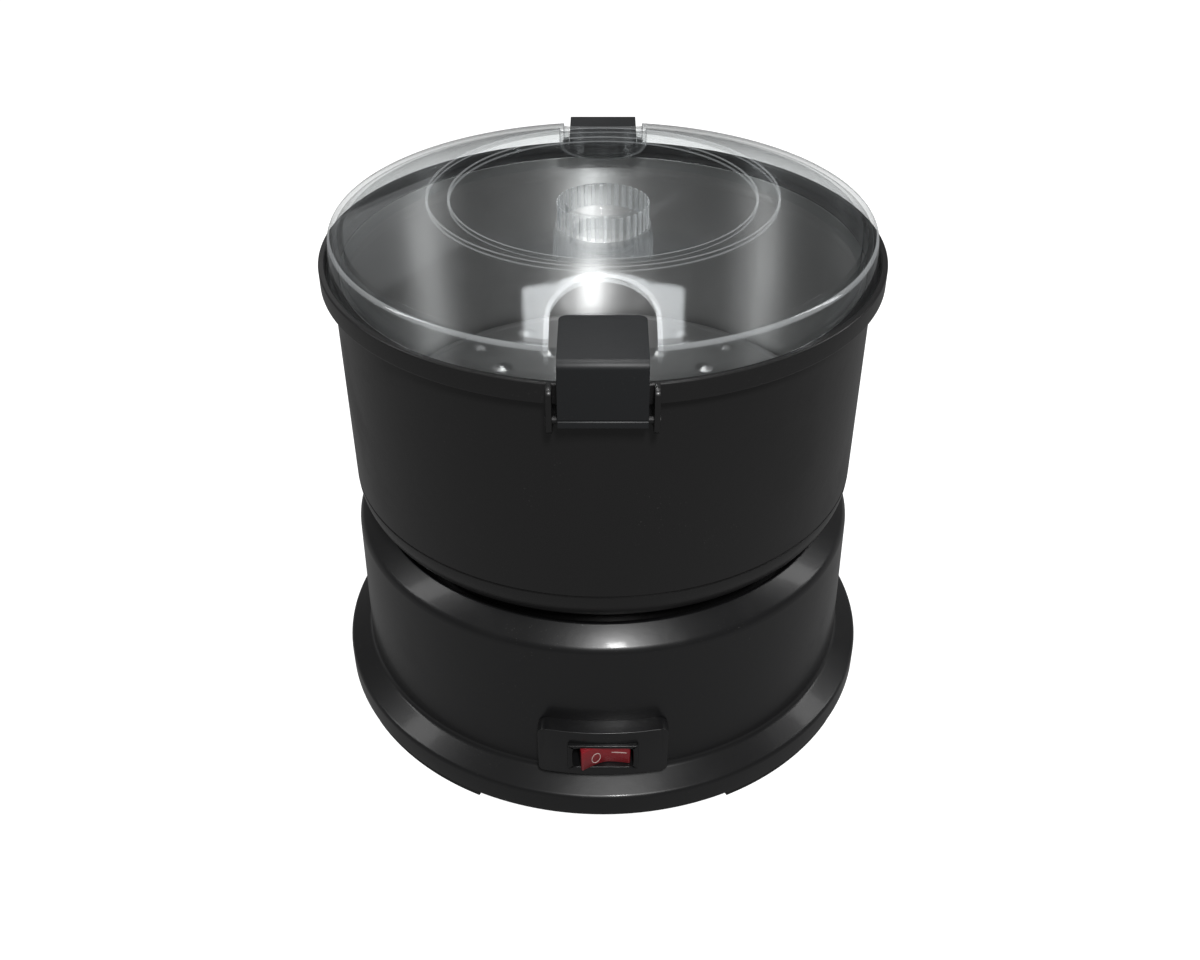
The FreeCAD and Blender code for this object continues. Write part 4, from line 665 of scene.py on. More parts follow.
def lit_red(name, base):
    """Translucent red plastic. It is darker where its faces turn edge-on to the view, which is painted
    shade, and has a little random tone through its body.
    """
    p = paint(name)
    depth = p.noise(160, 2)
    # Painted shade: the red darkens towards the edges that turn away from the view, and a little random
    # tone is mixed in.
    edge = p.node("ShaderNodeLayerWeight", {"Blend": 0.35}, output="Facing")
    body = p.blend(edge * 0.8 + depth * 0.2, base, tint(base, 0.45))
    return p.done(p.surface({"Base Color": body, "Roughness": 0.24 + depth * 0.08,
                             "Subsurface Weight": 0.12, "Subsurface Radius": (0.004, 0.001, 0.001),
                             "Coat Weight": 0.25, "Normal": p.bump(p.noise(900, 1), 0.00001)}))


def plain_paint(name, base, roughness=0.45):
    """Printed or moulded marks with slightly worn ink."""
    p = paint(name)
    wear = p.noise(2200, 3).between(0.3, 0.75)
    body = p.blend(wear, base, tint(base, 0.8))
    return p.done(p.surface({"Base Color": body, "Roughness": roughness + wear * 0.1}))


def make_finishes():
    """Fill the table of finishes, each from its recipe."""
    c = bpy.context.scene.peeler_colours
    FINISHES.update(
        base_gloss=gloss_plastic("base_gloss", c.base, 0.31, 0.42, coat=0.15),
        bowl_satin=gloss_plastic("bowl_satin", c.bowl, 0.36, 0.42, 0.00004, coat=0.08),
        latch_satin=gloss_plastic("latch_satin", c.latch, 0.48, 0.5, 0.00005, 0.15),
        switch_black=gloss_plastic("switch_black", c.base, 0.3, 0.4),
        plate_black=gloss_plastic("plate_black", c.bowl, 0.5, 0.4, 0.00006),
        gear_white=gloss_plastic("gear_white", c.gear, 0.42, 0.5, 0.00004, 0.0),
        capacitor_yellow=gloss_plastic("capacitor_yellow", (0.62, 0.42, 0.05), 0.3),
        lid_clear=clear_plastic("lid_clear"),
        liner_steel=steel("liner_steel", c.steel, 0.44, (1, 1, 0.04), 420, streak=1.0),
        disc_steel=steel("disc_steel", c.steel, 0.24, (1, 1, 1), 700, streak=0.8),
        shaft_steel=steel("shaft_steel", tint(c.steel, 0.9), 0.2, (1, 1, 18), 300),
        zinc_steel=steel("zinc_steel", tint(c.steel, 1.2), 0.3, (1, 1, 1), 500),
        can_steel=steel("can_steel", tint(c.steel, 0.85), 0.35, (1, 1, 12), 400),
        plate_metal=steel("plate_metal", tint(c.steel, 1.1), 0.38, (14, 1, 1), 300),
        bush_bronze=steel("bush_bronze", c.bronze, 0.42, (1, 1, 1), 1200, 0.00003),
        armature_iron=steel("armature_iron", (0.24, 0.13, 0.07), 0.4, (1, 1, 60), 90),
        magnet_grey=gloss_plastic("magnet_grey", (0.06, 0.06, 0.065), 0.6, 0.3),
        foot_rubber=soft_rubber("foot_rubber", c.rubber),
        seal_rubber=soft_rubber("seal_rubber", tint(c.rubber, 5)),
        rocker_red=lit_red("rocker_red", c.rocker),
        mark_white=plain_paint("mark_white", c.mark),
    )


NODE_FINISHES = {
    "plate_black": ("base_plate", "motor_end_cap", "front_latch_pin", "back_latch_pin"),
    "foot_rubber": ("foot_front_left", "foot_front_right", "foot_back_left", "foot_back_right"),
    "zinc_steel": ("plate_screws", "gearbox_screws", "motor_screws"),
    "shaft_steel": ("gear_axle", "motor_bearing_lower", "motor_bearing_upper", "motor_shaft",
                    "output_shaft", "disc_spindle"),
    "can_steel": ("motor_can",),
    "plate_metal": ("gearbox_plate",),
    "magnet_grey": ("motor_magnets",),
    "armature_iron": ("armature",),
    "bush_bronze": ("motor_pinion", "shaft_bush_lower", "shaft_bush_upper", "bowl_bush",
                    "switch_terminals"),
    "gear_white": ("compound_gear", "output_gear", "drive_dog", "terminal_block"),
    "capacitor_yellow": ("filter_capacitor",),
    "seal_rubber": ("shaft_seal", "bowl_seal"),
}


# Base

def shoulder_under(s, radius):
    """Height of the shoulder's inner face at a radius."""
    slope = (s.mouth_level - s.shoulder_level) / (s.wall_top - s.mouth)
    return s.mouth_level - 1.28 * s.wall - (radius - s.mouth) * slope


def base_outline(s):
    inner_top = s.wall_top - s.wall
    well_outer = s.well + s.wall
    edge = s.wall / 12
    return [
        (s.flange, BASE_LOW.z, edge),
        (s.flange, s.skirt_top, 0.0026),
        (s.wall_foot, s.wall_foot_level, 0.0034),
        (s.wall_top, s.shoulder_level, s.shoulder_round),
        (s.mouth, s.mouth_level, 0.0009),
        (s.well, s.mouth_level - (s.mouth - s.well), edge),
        (s.well, s.deck, 0.0008),
        (s.ring, s.deck, edge),
        (s.ring, s.deck + s.ring_rise, 0.0006),
        (s.ring - s.wall, s.deck + s.ring_rise, 0.0006),
        (s.ring - s.wall, s.deck, edge),
        (s.boss, s.deck, 0.0008),
        (s.boss, s.deck + s.boss_rise, 0.0005),
        (s.boss_bore, s.deck + s.boss_rise),
        (s.boss_bore, s.deck - s.wall),
        (well_outer, s.deck - s.wall),
        (well_outer, shoulder_under(s, well_outer)),
        (inner_top, shoulder_under(s, inner_top)),
        (s.wall_foot - s.wall, s.wall_foot_level - s.wall),
        (s.flange - s.wall, s.skirt_top - s.wall),
        (s.flange - s.wall, BASE_LOW.z),
    ]


def switch_panel(s):
    """The raised block with a curved face round the switch."""
    back = s.wall_top - 0.5 * s.wall
    side = math.asin(s.panel_half / s.panel_face)
    bottom = s.panel_bottom
    corners = [(s.panel_half, -back, bottom), (-s.panel_half, -back, bottom)]
    for step in range(17):
        angle = side * (step / 8 - 1)
        corners.append((s.panel_face * math.sin(angle), -s.panel_face * math.cos(angle), bottom))
    piece = slab("panel", corners, (0, 0, s.panel_top - bottom))
    front = -s.panel_face * math.cos(side)

    def corner(edge):
        """An edge that runs to the front at one of the panel's sides."""
        return abs(along(edge).y) > 0.99 and abs(abs(middle(edge).x) - s.panel_half) < CLOSE

    edit(piece)
    round_edges(piece, lambda edge: corner(edge) and middle(edge).z > s.panel_top - CLOSE,
                s.panel_round, 8)
    round_edges(piece, lambda edge: corner(edge) and middle(edge).z < bottom + CLOSE,
                0.6 * s.panel_round, 6)
    round_edges(piece, lambda edge: middle(edge).y < front + CLOSE and edge.calc_face_angle(0) > 0.6,
                s.panel_edge, 4, clamp=True)
    heal(piece)
    return piece


class PEELER_OT_base(bpy.types.Operator):
    """Turn the base housing and join the switch panel to it"""
    bl_idname = "peeler.base"
    bl_label = "Base housing"

    def execute(self, context):
        s = context.scene.peeler_base
        shell = lathe("base_shell", base_outline(s))
        unite(shell, switch_panel(s))
        seat = SWITCH_LOW.y + context.scene.peeler_switch.bezel_thick
        recess = block("recess", (SWITCH_LOW.x - PLAY, -s.panel_face - 0.002, SWITCH_LOW.z - PLAY),
                       (SWITCH_HIGH.x + PLAY, seat, SWITCH_HIGH.z + PLAY))
        cut(shell, recess)
        window = block("window", (-s.window_half, seat - 0.001, s.window_foot),
                       (s.window_half, -s.window_back, s.window_top))
        cut(shell, window)
        root = s.wall_top - s.wall / 2
        pad = lathe("gland_pad", [(0, root), (s.gland_pad, root), (s.gland_pad, GLAND_SEAT, 0.0004),
                                  (0, GLAND_SEAT)], 64, (0, 1, 0), (0, 0, GLAND_LEVEL), along_y=True)
        unite(shell, pad)
        hole = rod("gland_hole", (0, s.wall_top, GLAND_LEVEL), GLAND_BODY, 0.02, "Y")
        cut(shell, hole)
        finish(shell, "base_gloss", "base", ["base_housing"])
        return {"FINISHED"}


# Switch and gland

class PEELER_OT_switch(bpy.types.Operator):
    """Shape the bezel with its case, the rocker and its two marks"""
    bl_idname = "peeler.switch"
    bl_label = "Rocker switch"

    def execute(self, context):
        s = context.scene.peeler_switch
        finish(make_bezel(s), "switch_black", "base", ["switch_frame"])
        finish(make_rocker(s), "rocker_red", "rocker", ["rocker"])
        for piece in make_marks(s):
            finish(piece, "mark_white", "rocker", [])
        return {"FINISHED"}


def make_bezel(s):
    """The bezel with its opening, and the case behind it."""
    front = SWITCH_LOW.y
    seat = front + s.bezel_thick
    piece = block("switch_bezel", SWITCH_LOW, (SWITCH_HIGH.x, seat, SWITCH_HIGH.z))
    edit(piece)
    round_edges(piece, lambda edge: abs(along(edge).y) > 0.99, s.case_step, 4)
    choose(piece, lambda face: face.normal.y < -0.99, "FACE")
    bpy.ops.mesh.inset(thickness=s.rim)
    inner_half = SWITCH_HIGH.x - s.rim
    bpy.ops.transform.resize(value=(s.opening_half / inner_half, 1, 1),
                             center_override=(0, front, s.level))
    bpy.ops.mesh.extrude_region_move(TRANSFORM_OT_translate={"value": (0, s.depth, 0)})
    choose(piece, lambda face: face.normal.y > 0.99 and face.calc_center_median().y > seat - CLOSE,
           "FACE")
    bpy.ops.mesh.inset(thickness=s.case_step)
    bpy.ops.mesh.extrude_region_move(TRANSFORM_OT_translate={"value": (0, SWITCH_HIGH.y - seat, 0)})
    round_edges(piece, lambda edge: middle(edge).y < front + CLOSE and edge.calc_face_angle(0) > 0.5,
                s.bezel_round, 3)
    heal(piece)
    return piece


def rocker_frame(s):
    """The place of the rocker: its pivot and its tilt."""
    return Matrix.Translation((0, -s.pivot, s.level)) @ Matrix.Rotation(s.tilt, 4, "Z")


def seat_in(piece, matrix):
    """Put a piece modelled at the origin into its place."""
    piece.matrix_world = matrix
    take(piece)
    settle()
    return piece


def rocker_face(s, x):
    """How far the rocker's hollow face lies behind the line of its pivot at a place along it."""
    part = abs(x) / s.rocker_half
    return -(s.rocker_middle + (s.rocker_end - s.rocker_middle) * part ** 1.5)


def make_rocker(s):
    half = s.rocker_half
    low = -s.rocker_high / 2
    faces = [(half * step / 8, rocker_face(s, half * step / 8), low) for step in range(-7, 8)]
    corners = [(-half, -s.rocker_end, low, 0.0008)] + faces + [(half, -s.rocker_end, low, 0.0008)]
    step = 0.0004            # how far the sides draw in at the height of the pivot
    corners += [(half - step, -step, low, 0.001), (s.rocker_root, s.rocker_deep, low),
                (-s.rocker_root, s.rocker_deep, low), (-half + step, -step, low, 0.001)]
    piece = slab("rocker_button", corners, (0, 0, s.rocker_high))
    soften(piece, 0.0003, 2, 50)
    return seat_in(piece, rocker_frame(s))


def on_face(s, x, rise=0.0):
    """A place just proud of the rocker's hollow face, leaning with it."""
    near = 0.001
    lean = math.atan2(rocker_face(s, x + near) - rocker_face(s, x - near), 2 * near)
    spot = Matrix.Translation((x, rocker_face(s, x) - near / 10, rise))
    return rocker_frame(s) @ spot @ Matrix.Rotation(lean, 4, "Z")


def make_marks(s):
    """A ring on the half that stands out and a bar on the half that is pressed in."""
    rest()
    bpy.ops.mesh.primitive_torus_add(major_radius=s.mark, minor_radius=s.mark_line / 2,
                                     major_segments=48, minor_segments=8)
    ring = named("off_mark")
    upright = Matrix.Rotation(math.pi / 2, 4, "X") @ Matrix.Diagonal((0.8, 1.05, 0.5, 1))
    seat_in(ring, on_face(s, -0.36 * s.rocker_half, -0.0012) @ upright)
    bar_half = Vector((0.0034, 0.00012, s.mark_line / 2))
    bar = block("on_mark", -bar_half, bar_half)
    soften(bar, 0.00008, 2)
    seat_in(bar, on_face(s, 0.55 * s.rocker_half, 0.0008) @ Matrix.Rotation(math.radians(-4), 4, "Y"))
    return ring, bar


# Radius and rise over the seat of the steps behind the gland's head
GLAND_NECK = ((0.0076, 0.0022), (0.0076, 0.003), (0.0068, 0.003), (0.0068, 0.0036), (0.0072, 0.0036))


class PEELER_OT_gland(bpy.types.Operator):
    """Turn the cord gland at the back of the base"""
    bl_idname = "peeler.gland"
    bl_label = "Cord gland"

    def execute(self, context):
        head = (GLAND_HIGH.z - GLAND_LOW.z) / 2
        back = GLAND_HIGH.y
        outline = [(GLAND_BORE, GLAND_LOW.y), (GLAND_BODY, GLAND_LOW.y), (GLAND_BODY, GLAND_SEAT),
                   (head, GLAND_SEAT, 0.0004), (head, GLAND_SEAT + 0.0018, 0.0008)]
        outline += [(radius, GLAND_SEAT + rise) for radius, rise in GLAND_NECK]
        outline += [(0.0066, back, 0.0005), (GLAND_BORE, back, 0.0004)]
        piece = lathe("gland_turned", outline, 72, (0, 1, 0), (0, 0, GLAND_LEVEL), along_y=True)
        finish(piece, "foot_rubber", "base", ["cord_gland"])
        return {"FINISHED"}


# Bowl

def bowl_outline(s):
    inner = s.radius - s.wall
    floor_top = s.floor + s.wall
    deep = s.groove_deep
    return [
        (s.neck - s.wall, s.neck_foot, 0.0004),
        (s.neck, s.neck_foot, 0.0006),
        (s.neck, s.floor, 0.0015),
        (s.radius, s.floor, s.foot_round),
        (s.radius, s.groove),
        (s.radius - deep, s.groove + 0.4 * deep),
        (s.radius - deep, s.groove + 1.4 * deep),
        (s.radius, s.groove + 1.8 * deep),
        (s.radius, s.lip_foot, 0.0012),
        (s.lip, s.lip_foot, s.edge),
        (s.lip, s.rim, s.edge),
        (inner, s.rim, s.edge / 2),
        (inner, floor_top, s.foot_round - s.wall),
        (s.hub, floor_top, 0.002),
        (s.hub, s.hub_top, 0.0006),
        (s.hub_bore, s.hub_top),
        (s.hub_bore, s.hub_foot),
        (s.hub, s.hub_foot, 0.0005),
        (s.hub, s.floor),
        (s.neck - s.wall, s.floor),
    ]


def make_ears(s):
    """Four ears that carry the latch pins, each with a low boss round its pin."""
    latch = bpy.context.scene.peeler_latch
    root = s.radius - 0.5 * s.wall
    corners = [(s.ear_inner, -root, s.ear_foot),
               (s.ear_inner, -s.ear_reach, s.ear_foot + s.ear_round, latch.barrel),
               (s.ear_inner, -s.ear_reach, s.rim, s.ear_round), (s.ear_inner, -root, s.rim)]
    ear = slab("ear", corners, (s.ear_outer - s.ear_inner, 0, 0))
    soften(ear, 0.0003, 2)
    pivot = (s.ear_outer, -latch.hinge_back, latch.hinge_level)
    boss = rod("ear_boss", pivot, s.ear_boss, 2 * s.ear_boss_rise, "X", 32)
    soften(boss, 0.0002, 2)
    unite(ear, boss)
    other = twin(ear, "ear_left", 0)
    take(other)
    bpy.ops.transform.mirror(constraint_axis=(True, False, False), center_override=(0, 0, 0))
    settle()
    heal(other)
    pair = gather("ears_front", [ear, other])
    return gather("ears", [pair, twin(pair, "ears_back", math.pi)])


class PEELER_OT_bowl(bpy.types.Operator):
    """Turn the bowl with its neck, groove and lip, add the ears, and line it with steel"""
    bl_idname = "peeler.bowl"
    bl_label = "Bowl"

    def execute(self, context):
        s = context.scene.peeler_bowl
        shell = lathe("bowl_shell", bowl_outline(s))
        unite(shell, make_ears(s))
        inner = s.radius - s.wall
        seat = lathe("seat", [(inner - PAST, s.seat_level), (s.seat, s.seat_level),
                              (s.seat, s.rim - PAST), (s.seat + PAST, s.rim),
                              (s.seat + PAST, s.rim + 2 * PAST), (inner - PAST, s.rim + 2 * PAST)])
        cut(shell, seat)
        latch = context.scene.peeler_latch
        for side in (-1, 1):
            place = (0, side * latch.hinge_back, latch.hinge_level)
            cut(shell, rod("pin_hole", place, PIN_HOLE, 0.06, "X", 24))
        finish(shell, "bowl_satin", "bowl", ["bowl"])
        liner = lathe("liner_sheet", liner_outline())
        finish(liner, "liner_steel", "bowl", ["bowl_liner"])
        return {"FINISHED"}


def liner_outline():
    """The steel sheet's section, with a bead pressed inwards near its rim."""
    outer = LINER_HIGH.x
    inner = outer - LINER_WALL
    low, high = LINER_LOW.z, LINER_HIGH.z
    bead = [(inner, BEAD_LEVEL + 0.0022, 0.001), (inner - BEAD_DEEP, BEAD_LEVEL + BEAD_HALF, 0.001),
            (inner - BEAD_DEEP, BEAD_LEVEL - BEAD_HALF, 0.001), (inner, BEAD_LEVEL - 0.0022, 0.001)]
    return [(outer, low), (outer, high, 0.0001), (inner, high, 0.0001)] + bead + [(inner, low)]


# Disc

def disc_outline(s):
    rim = s.top + s.rim_rise
    return [
        (s.spindle, DISC_LOW.z), (s.hub, DISC_LOW.z, 0.0004), (s.hub + 0.002, s.bottom, 0.001),
        (s.radius, s.bottom, 0.0008), (s.radius, rim, 0.0008),
        (s.radius - s.rim_wide, rim, 0.0008), (s.radius - 1.5 * s.rim_wide, s.top, 0.001),
        (s.spigot, s.top), (s.spigot, s.bottom), (s.spindle, s.bottom),
    ]


BUMP_RINGS = ((0.42, 10), (0.66, 16), (0.88, 22))    # share of the disc's radius, number of bumps


class PEELER_OT_disc(bpy.types.Operator):
    """Turn the peeling disc, raise its bumps and add the domed nut"""
    bl_idname = "peeler.disc"
    bl_label = "Peeling disc"

    def execute(self, context):
        s = context.scene.peeler_disc
        disc = lathe("disc_plate", disc_outline(s), 360)
        raise_bumps(disc, s)
        finish(disc, "disc_steel", "disc", ["peeling_disc"], 40)
        finish(make_nut(s), "disc_steel", "disc", ["disc_nut"])
        return {"FINISHED"}


def raise_bumps(disc, s):
    """Press rings of round bumps into the disc's upper face."""
    edit(disc)
    choose(disc, lambda edge: edge.verts[0].co.z > s.top - CLOSE and edge.verts[1].co.z > s.top - CLOSE
           and abs(edge.verts[0].co.xy.length - edge.verts[1].co.xy.length) > 0.05, "EDGE")
    bpy.ops.mesh.subdivide(number_cuts=70)
    spots = []
    for part, count in BUMP_RINGS:
        for index in range(count):
            angle = ROUND * index / count
            spot = Vector((math.cos(angle), math.sin(angle), 0)) * part * s.radius
            spots.append(Vector((spot.x, spot.y, s.top)))
    mesh = bmesh.from_edit_mesh(disc.data)
    for vertex in [vertex for vertex in mesh.verts if abs(vertex.co.z - s.top) < CLOSE]:
        near = min((vertex.co - spot).length for spot in spots)
        if near < s.bump:
            vertex.co.z += s.bump_rise * (1 - (near / s.bump) ** 2) ** 1.5
    bmesh.update_edit_mesh(disc.data)
    heal(disc)


def make_nut(s):
    """A hexagon nut with chamfered corners and a domed cap."""
    rest()
    reach = s.nut_half / math.cos(math.pi / 6)
    low, high = NUT_LOW.z, NUT_HIGH.z
    flange_top = low + s.nut_high
    bpy.ops.mesh.primitive_cylinder_add(vertices=6, radius=reach, depth=flange_top - low,
                                        location=(0, 0, (low + flange_top) / 2), end_fill_type="NGON")
    nut = named("cap_nut")
    settle()
    cone = lathe("nut_chamfer", [(0, low), (reach - 0.0004, low), (reach, low + 0.0005),
                                 (reach, flange_top - 0.0009), (s.nut_half * 0.99, flange_top),
                                 (0, flange_top)], 96)
    unite(nut, cone, "INTERSECT")
    outline = [(0, low + 0.001), (s.dome, low + 0.001), (s.dome, flange_top + 0.0008, 0.0004),
               (0.0062, high - 0.0006, 0.0022), (0.0025, high), (0, high)]
    unite(nut, lathe("nut_dome", outline, 96))
    cut(nut, rod("nut_bore", (0, 0, low + 0.002), s.spigot, 0.0095, "Z"))
    return nut


# Lid

def lid_outline(s):
    """The lid's section: foot, edge, crest, dish, knob, boss and collar."""
    under = s.dish - s.wall
    slope = (s.crest_level - s.edge_level) / (s.crest_outer - s.edge)

    def slope_under(radius):
        return s.edge_level - 1.05 * s.wall + (radius - s.edge) * slope

    return [
        (s.foot, s.foot_level, 0.0003),
        (s.edge, s.edge_level, s.edge_round),
        (s.crest_outer, s.crest_level, s.crest_round),
        (s.crest_inner, s.crest_level - s.crest_dip, s.crest_round),
        (s.knob, s.dish, 0.0005),
        (s.knob, s.knob_top, 0.0006),
        (s.knob_bore, s.knob_top, 0.0006),
        (s.knob_bore, s.dish, 0.0008),
        (0, s.dish),
        (0, under),
        (s.boss - s.wall, under, 0.0004),
        (s.boss - s.wall, BOWL_HIGH.z, 0.0003),
        (s.boss, BOWL_HIGH.z, 0.0003),
        (s.boss, under, 0.0006),
        (s.knob + 0.0006, under),
        (s.crest_inner + s.wall / 4, s.crest_level - s.crest_dip - s.wall, 0.002),
        (s.crest_outer - s.wall / 4, s.crest_level - s.wall, 0.002),
        (s.collar - s.wall, slope_under(s.collar - s.wall), 0.0005),
        (s.collar - s.wall, s.collar_foot, 0.0005),
        (s.collar, s.collar_foot, 0.0005),
        (s.collar, slope_under(s.collar)),
        (s.edge - s.wall, slope_under(s.edge - s.wall), 0.0012),
        (s.foot - s.wall, s.foot_level, 0.0003),
    ]


def u_block(name, s, half, bottom, top):
    """A block with a round inner end, as wide as a latch pocket, at the front."""
    outer = -s.foot - 0.001
    corners = [(half, outer, bottom), (half, -s.pocket_centre, bottom)]
    for step in range(1, 24):
        angle = math.pi * step / 24
        corners.append((half * math.cos(angle), -s.pocket_centre + half * math.sin(angle), bottom))
    corners += [(-half, -s.pocket_centre, bottom), (-half, outer, bottom)]
    return slab(name, corners, (0, 0, top - bottom))


def both_ends(piece):
    """A cutting or filling shape at the front, and its twin at the back."""
    return gather(piece.name, [piece, twin(piece, piece.name + "_back", math.pi)])


class PEELER_OT_lid(bpy.types.Operator):
    """Turn the clear lid, raise the knob's ribs and let in the latch pockets"""
    bl_idname = "peeler.lid"
    bl_label = "Lid"

    def execute(self, context):
        s = context.scene.peeler_lid
        shell = lathe("lid_shell", lid_outline(s), LID_STEPS)
        raise_ribs(shell, s)
        wall_foot = s.pocket_floor - s.wall
        walls = both_ends(u_block("walls", s, s.pocket_half + s.wall, wall_foot, s.crest_level))
        fill = lathe("fill", [(s.foot - 0.0003, s.foot_level + 0.001),
                              (s.edge - 0.0001, s.edge_level - 0.0012, 0.002),
                              (s.crest_outer, s.crest_level - 0.0001),
                              (s.crest_inner, s.crest_level - 0.0016),
                              (s.knob, s.dish), (0, s.dish), (0, s.foot_level + 0.001)], LID_STEPS)
        tab = block("tab", (s.pocket_half, -s.foot, s.pocket_floor - s.tab_drop),
                    (s.pocket_half + s.wall, -s.collar, s.pocket_floor - 0.001))
        soften(tab, 0.0009, 3)
        tabs = both_ends(gather("tabs", [tab, twin(tab, "tab_left", math.pi)]))
        unite(walls, tabs)
        unite(walls, fill, "INTERSECT")
        unite(shell, walls)
        rooms = both_ends(u_block("rooms", s, s.pocket_half, s.pocket_floor, s.crest_level + 0.005))
        cut(shell, rooms)
        outside = -s.foot - 0.005
        floor_notch = block("floor_notch", (-s.notch_half, outside, wall_foot - 0.0001),
                            (s.notch_half, -s.notch_edge, s.crest_level))
        skirt_notch = block("skirt_notch", (-s.notch_half, outside, BOWL_HIGH.z - 0.001),
                            (s.notch_half, -s.collar - 0.0003, s.crest_level))
        cut(shell, both_ends(floor_notch))
        cut(shell, both_ends(skirt_notch))
        finish(shell, "lid_clear", "lid", ["lid"], 25)
        return {"FINISHED"}


def raise_ribs(lid, s):
    """Raise every second group of three strips round the knob into a rib."""
    edit(lid)
    step = ROUND / LID_STEPS

    def on_rib(face):
        place = face.calc_center_median()
        side = abs(place.xy.length - s.knob) < 0.0001
        upright = face.normal.xy.length > 0.99 and face.calc_area() > 1e-6
        column = math.floor((math.atan2(place.y, place.x) % ROUND) / step)
        return side and upright and column % 6 < 3

    choose(lid, on_rib, "FACE")
    bpy.ops.mesh.extrude_region_shrink_fatten(TRANSFORM_OT_shrink_fatten={"value": s.rib_rise})
    bpy.ops.object.mode_set(mode="OBJECT")


# Latches

def make_latch(s):
    """A bent plate with softened edges, a fine groove, and a barrel for its pin."""
    half = LATCH_HIGH.x
    tip = LATCH_HIGH.y
    face = LATCH_LOW.y
    top = LATCH_HIGH.z
    groove = s.foot + s.groove_rise
    floor = face + s.groove_deep
    side = [(tip, top), (face, top, s.bend), (face, groove + 0.0009), (floor, groove + 0.0007),
            (floor, groove + 0.0002), (face, groove), (face, s.foot, 0.0012),
            (face + s.thick, s.foot), (face + s.thick, top - s.thick, 0.0012), (tip, top - s.thick)]
    corners = [(-half, point[0], point[1]) + tuple(point[2:]) for point in side]
    latch = slab("front_latch_plate", corners, (2 * half, 0, 0))
    edit(latch)
    round_edges(latch, lambda edge: abs(middle(edge).y - tip) < CLOSE and abs(along(edge).z) > 0.99,
                s.corner, 8)
    bpy.ops.object.mode_set(mode="OBJECT")
    soften(latch, s.edge, 3, 50)
    hinge = (0, -s.hinge_back, s.hinge_level)
    barrel = rod("barrel", hinge, s.barrel, 2 * half - 0.0006, "X", 48)
    soften(barrel, 0.0003, 2)
    unite(latch, barrel)
    cut(latch, rod("bore", hinge, s.bore, 2.4 * half, "X", 32))
    return latch


class PEELER_OT_latches(bpy.types.Operator):
    """Bend the two latches over the lid's pockets"""
    bl_idname = "peeler.latches"
    bl_label = "Latches"

    def execute(self, context):
        front = make_latch(context.scene.peeler_latch)
        back = twin(front, "back_latch_plate", math.pi)
        finish(front, "latch_satin", "front_latch", ["front_latch"])
        finish(back, "latch_satin", "back_latch", ["back_latch"])
        return {"FINISHED"}


# Inner pieces and stage

class PEELER_OT_inner(bpy.types.Operator):
    """Give the feet and the pieces inside the base and the bowl their finishes"""
    bl_idname = "peeler.inner"
    bl_label = "Feet and inner pieces"

    def execute(self, context):
        for name, nodes in NODE_FINISHES.items():
            for node in nodes:
                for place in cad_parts[node].material_slots:
                    place.material = FINISHES[name]
        return {"FINISHED"}


@lengths
class PeelerStage(bpy.types.PropertyGroup):
    camera_back = "Distance of the camera in front of the axis", 0.5119
    camera_up = "Height of the camera", 0.4593
    camera_tilt: bpy.props.FloatProperty(name="Camera tilt", default=math.radians(54.68),
                                         description="Tilt of the camera from straight down",
                                         subtype="ANGLE")
    lens: bpy.props.FloatProperty(name="Lens", default=37.7, min=1,
                                  description="Focal length in millimetres")
    floor_size = "Width of the floor", 8


# Name, place, aim, width, height, power in watts
LAMPS = (
    ("front_softbox", (0.13, -1.1, 1.3), (0, 0, 0.1), 0.16, 0.3, 18),
    ("left_softbox", (-1.15, -0.05, 0.9), (0, 0, 0.12), 0.2, 0.8, 2.6),
    ("right_softbox", (1.2, 0.17, 0.8), (0, 0, 0.12), 0.2, 0.9, 3),
    ("top_softbox", (0.014, -0.02, 1.25), (0, 0, 0.1), 0.08, 0.08, 3),
    ("back_softbox", (0, 0.5, 1.3), (0, -0.1, 0.2), 0.5, 0.3, 2.8),
    ("veil_softbox", (-0.75, 1.3, 0.95), (0, 0, 0.2), 0.9, 0.8, 0.8),
)


def add_lamp(name, place, aim, width, height, power):
    """A soft rectangular lamp that faces a point."""
    turn = (Vector(aim) - Vector(place)).to_track_quat("-Z", "Y").to_euler()
    bpy.ops.object.light_add(type="AREA", location=place, rotation=turn)
    lamp = bpy.context.object
    lamp.name = name
    lamp.data.shape = "RECTANGLE"
    lamp.data.size = width
    lamp.data.size_y = height
    lamp.data.energy = power


def make_floor(size, base):
    """A pale floor that shows white to the camera and keeps the object's shadow."""
    bpy.ops.mesh.primitive_plane_add(size=size, location=(0, 0, -0.0002))
    floor = named("floor")
    p = paint("pale_floor")
    grain = p.noise(6, 2)
    body = p.blend(grain, base, tint(base, 0.97))
    values = {"Base Color": p.blend(path_mask(p, 0.1), tint(base, 0.25), body), "Roughness": 0.9,
              "Specular IOR Level": 0.0, "Emission Strength": 0.96,
              "Emission Color": p.blend(path_mask(p, 0.12), (0, 0, 0), (1, 1, 1))}
    shader = p.surface(values)
    floor.data.materials.append(p.done(shader))


def path_mask(p, glossy):
    """1 for rays from the camera or through clear plastic, and a share of it for mirrored ones."""
    camera = p.node("ShaderNodeLightPath", output="Is Camera Ray")
    through = p.node("ShaderNodeLightPath", output="Is Transmission Ray")
    mirrored = p.node("ShaderNodeLightPath", output="Is Glossy Ray")
    return camera.math("MAXIMUM", through).math("MAXIMUM", mirrored * glossy)


def make_world():
    """Surroundings that are white to the camera and dim to all else."""
    world = bpy.data.worlds.new("pale_room")
    bpy.context.scene.world = world
    p = Paint(world)
    strength = path_mask(p, 0.12).math("MAXIMUM", 0.12)
    shader = p.node("ShaderNodeBackground", {"Color": (1, 1, 1), "Strength": strength})
    p.done(shader, "ShaderNodeOutputWorld")


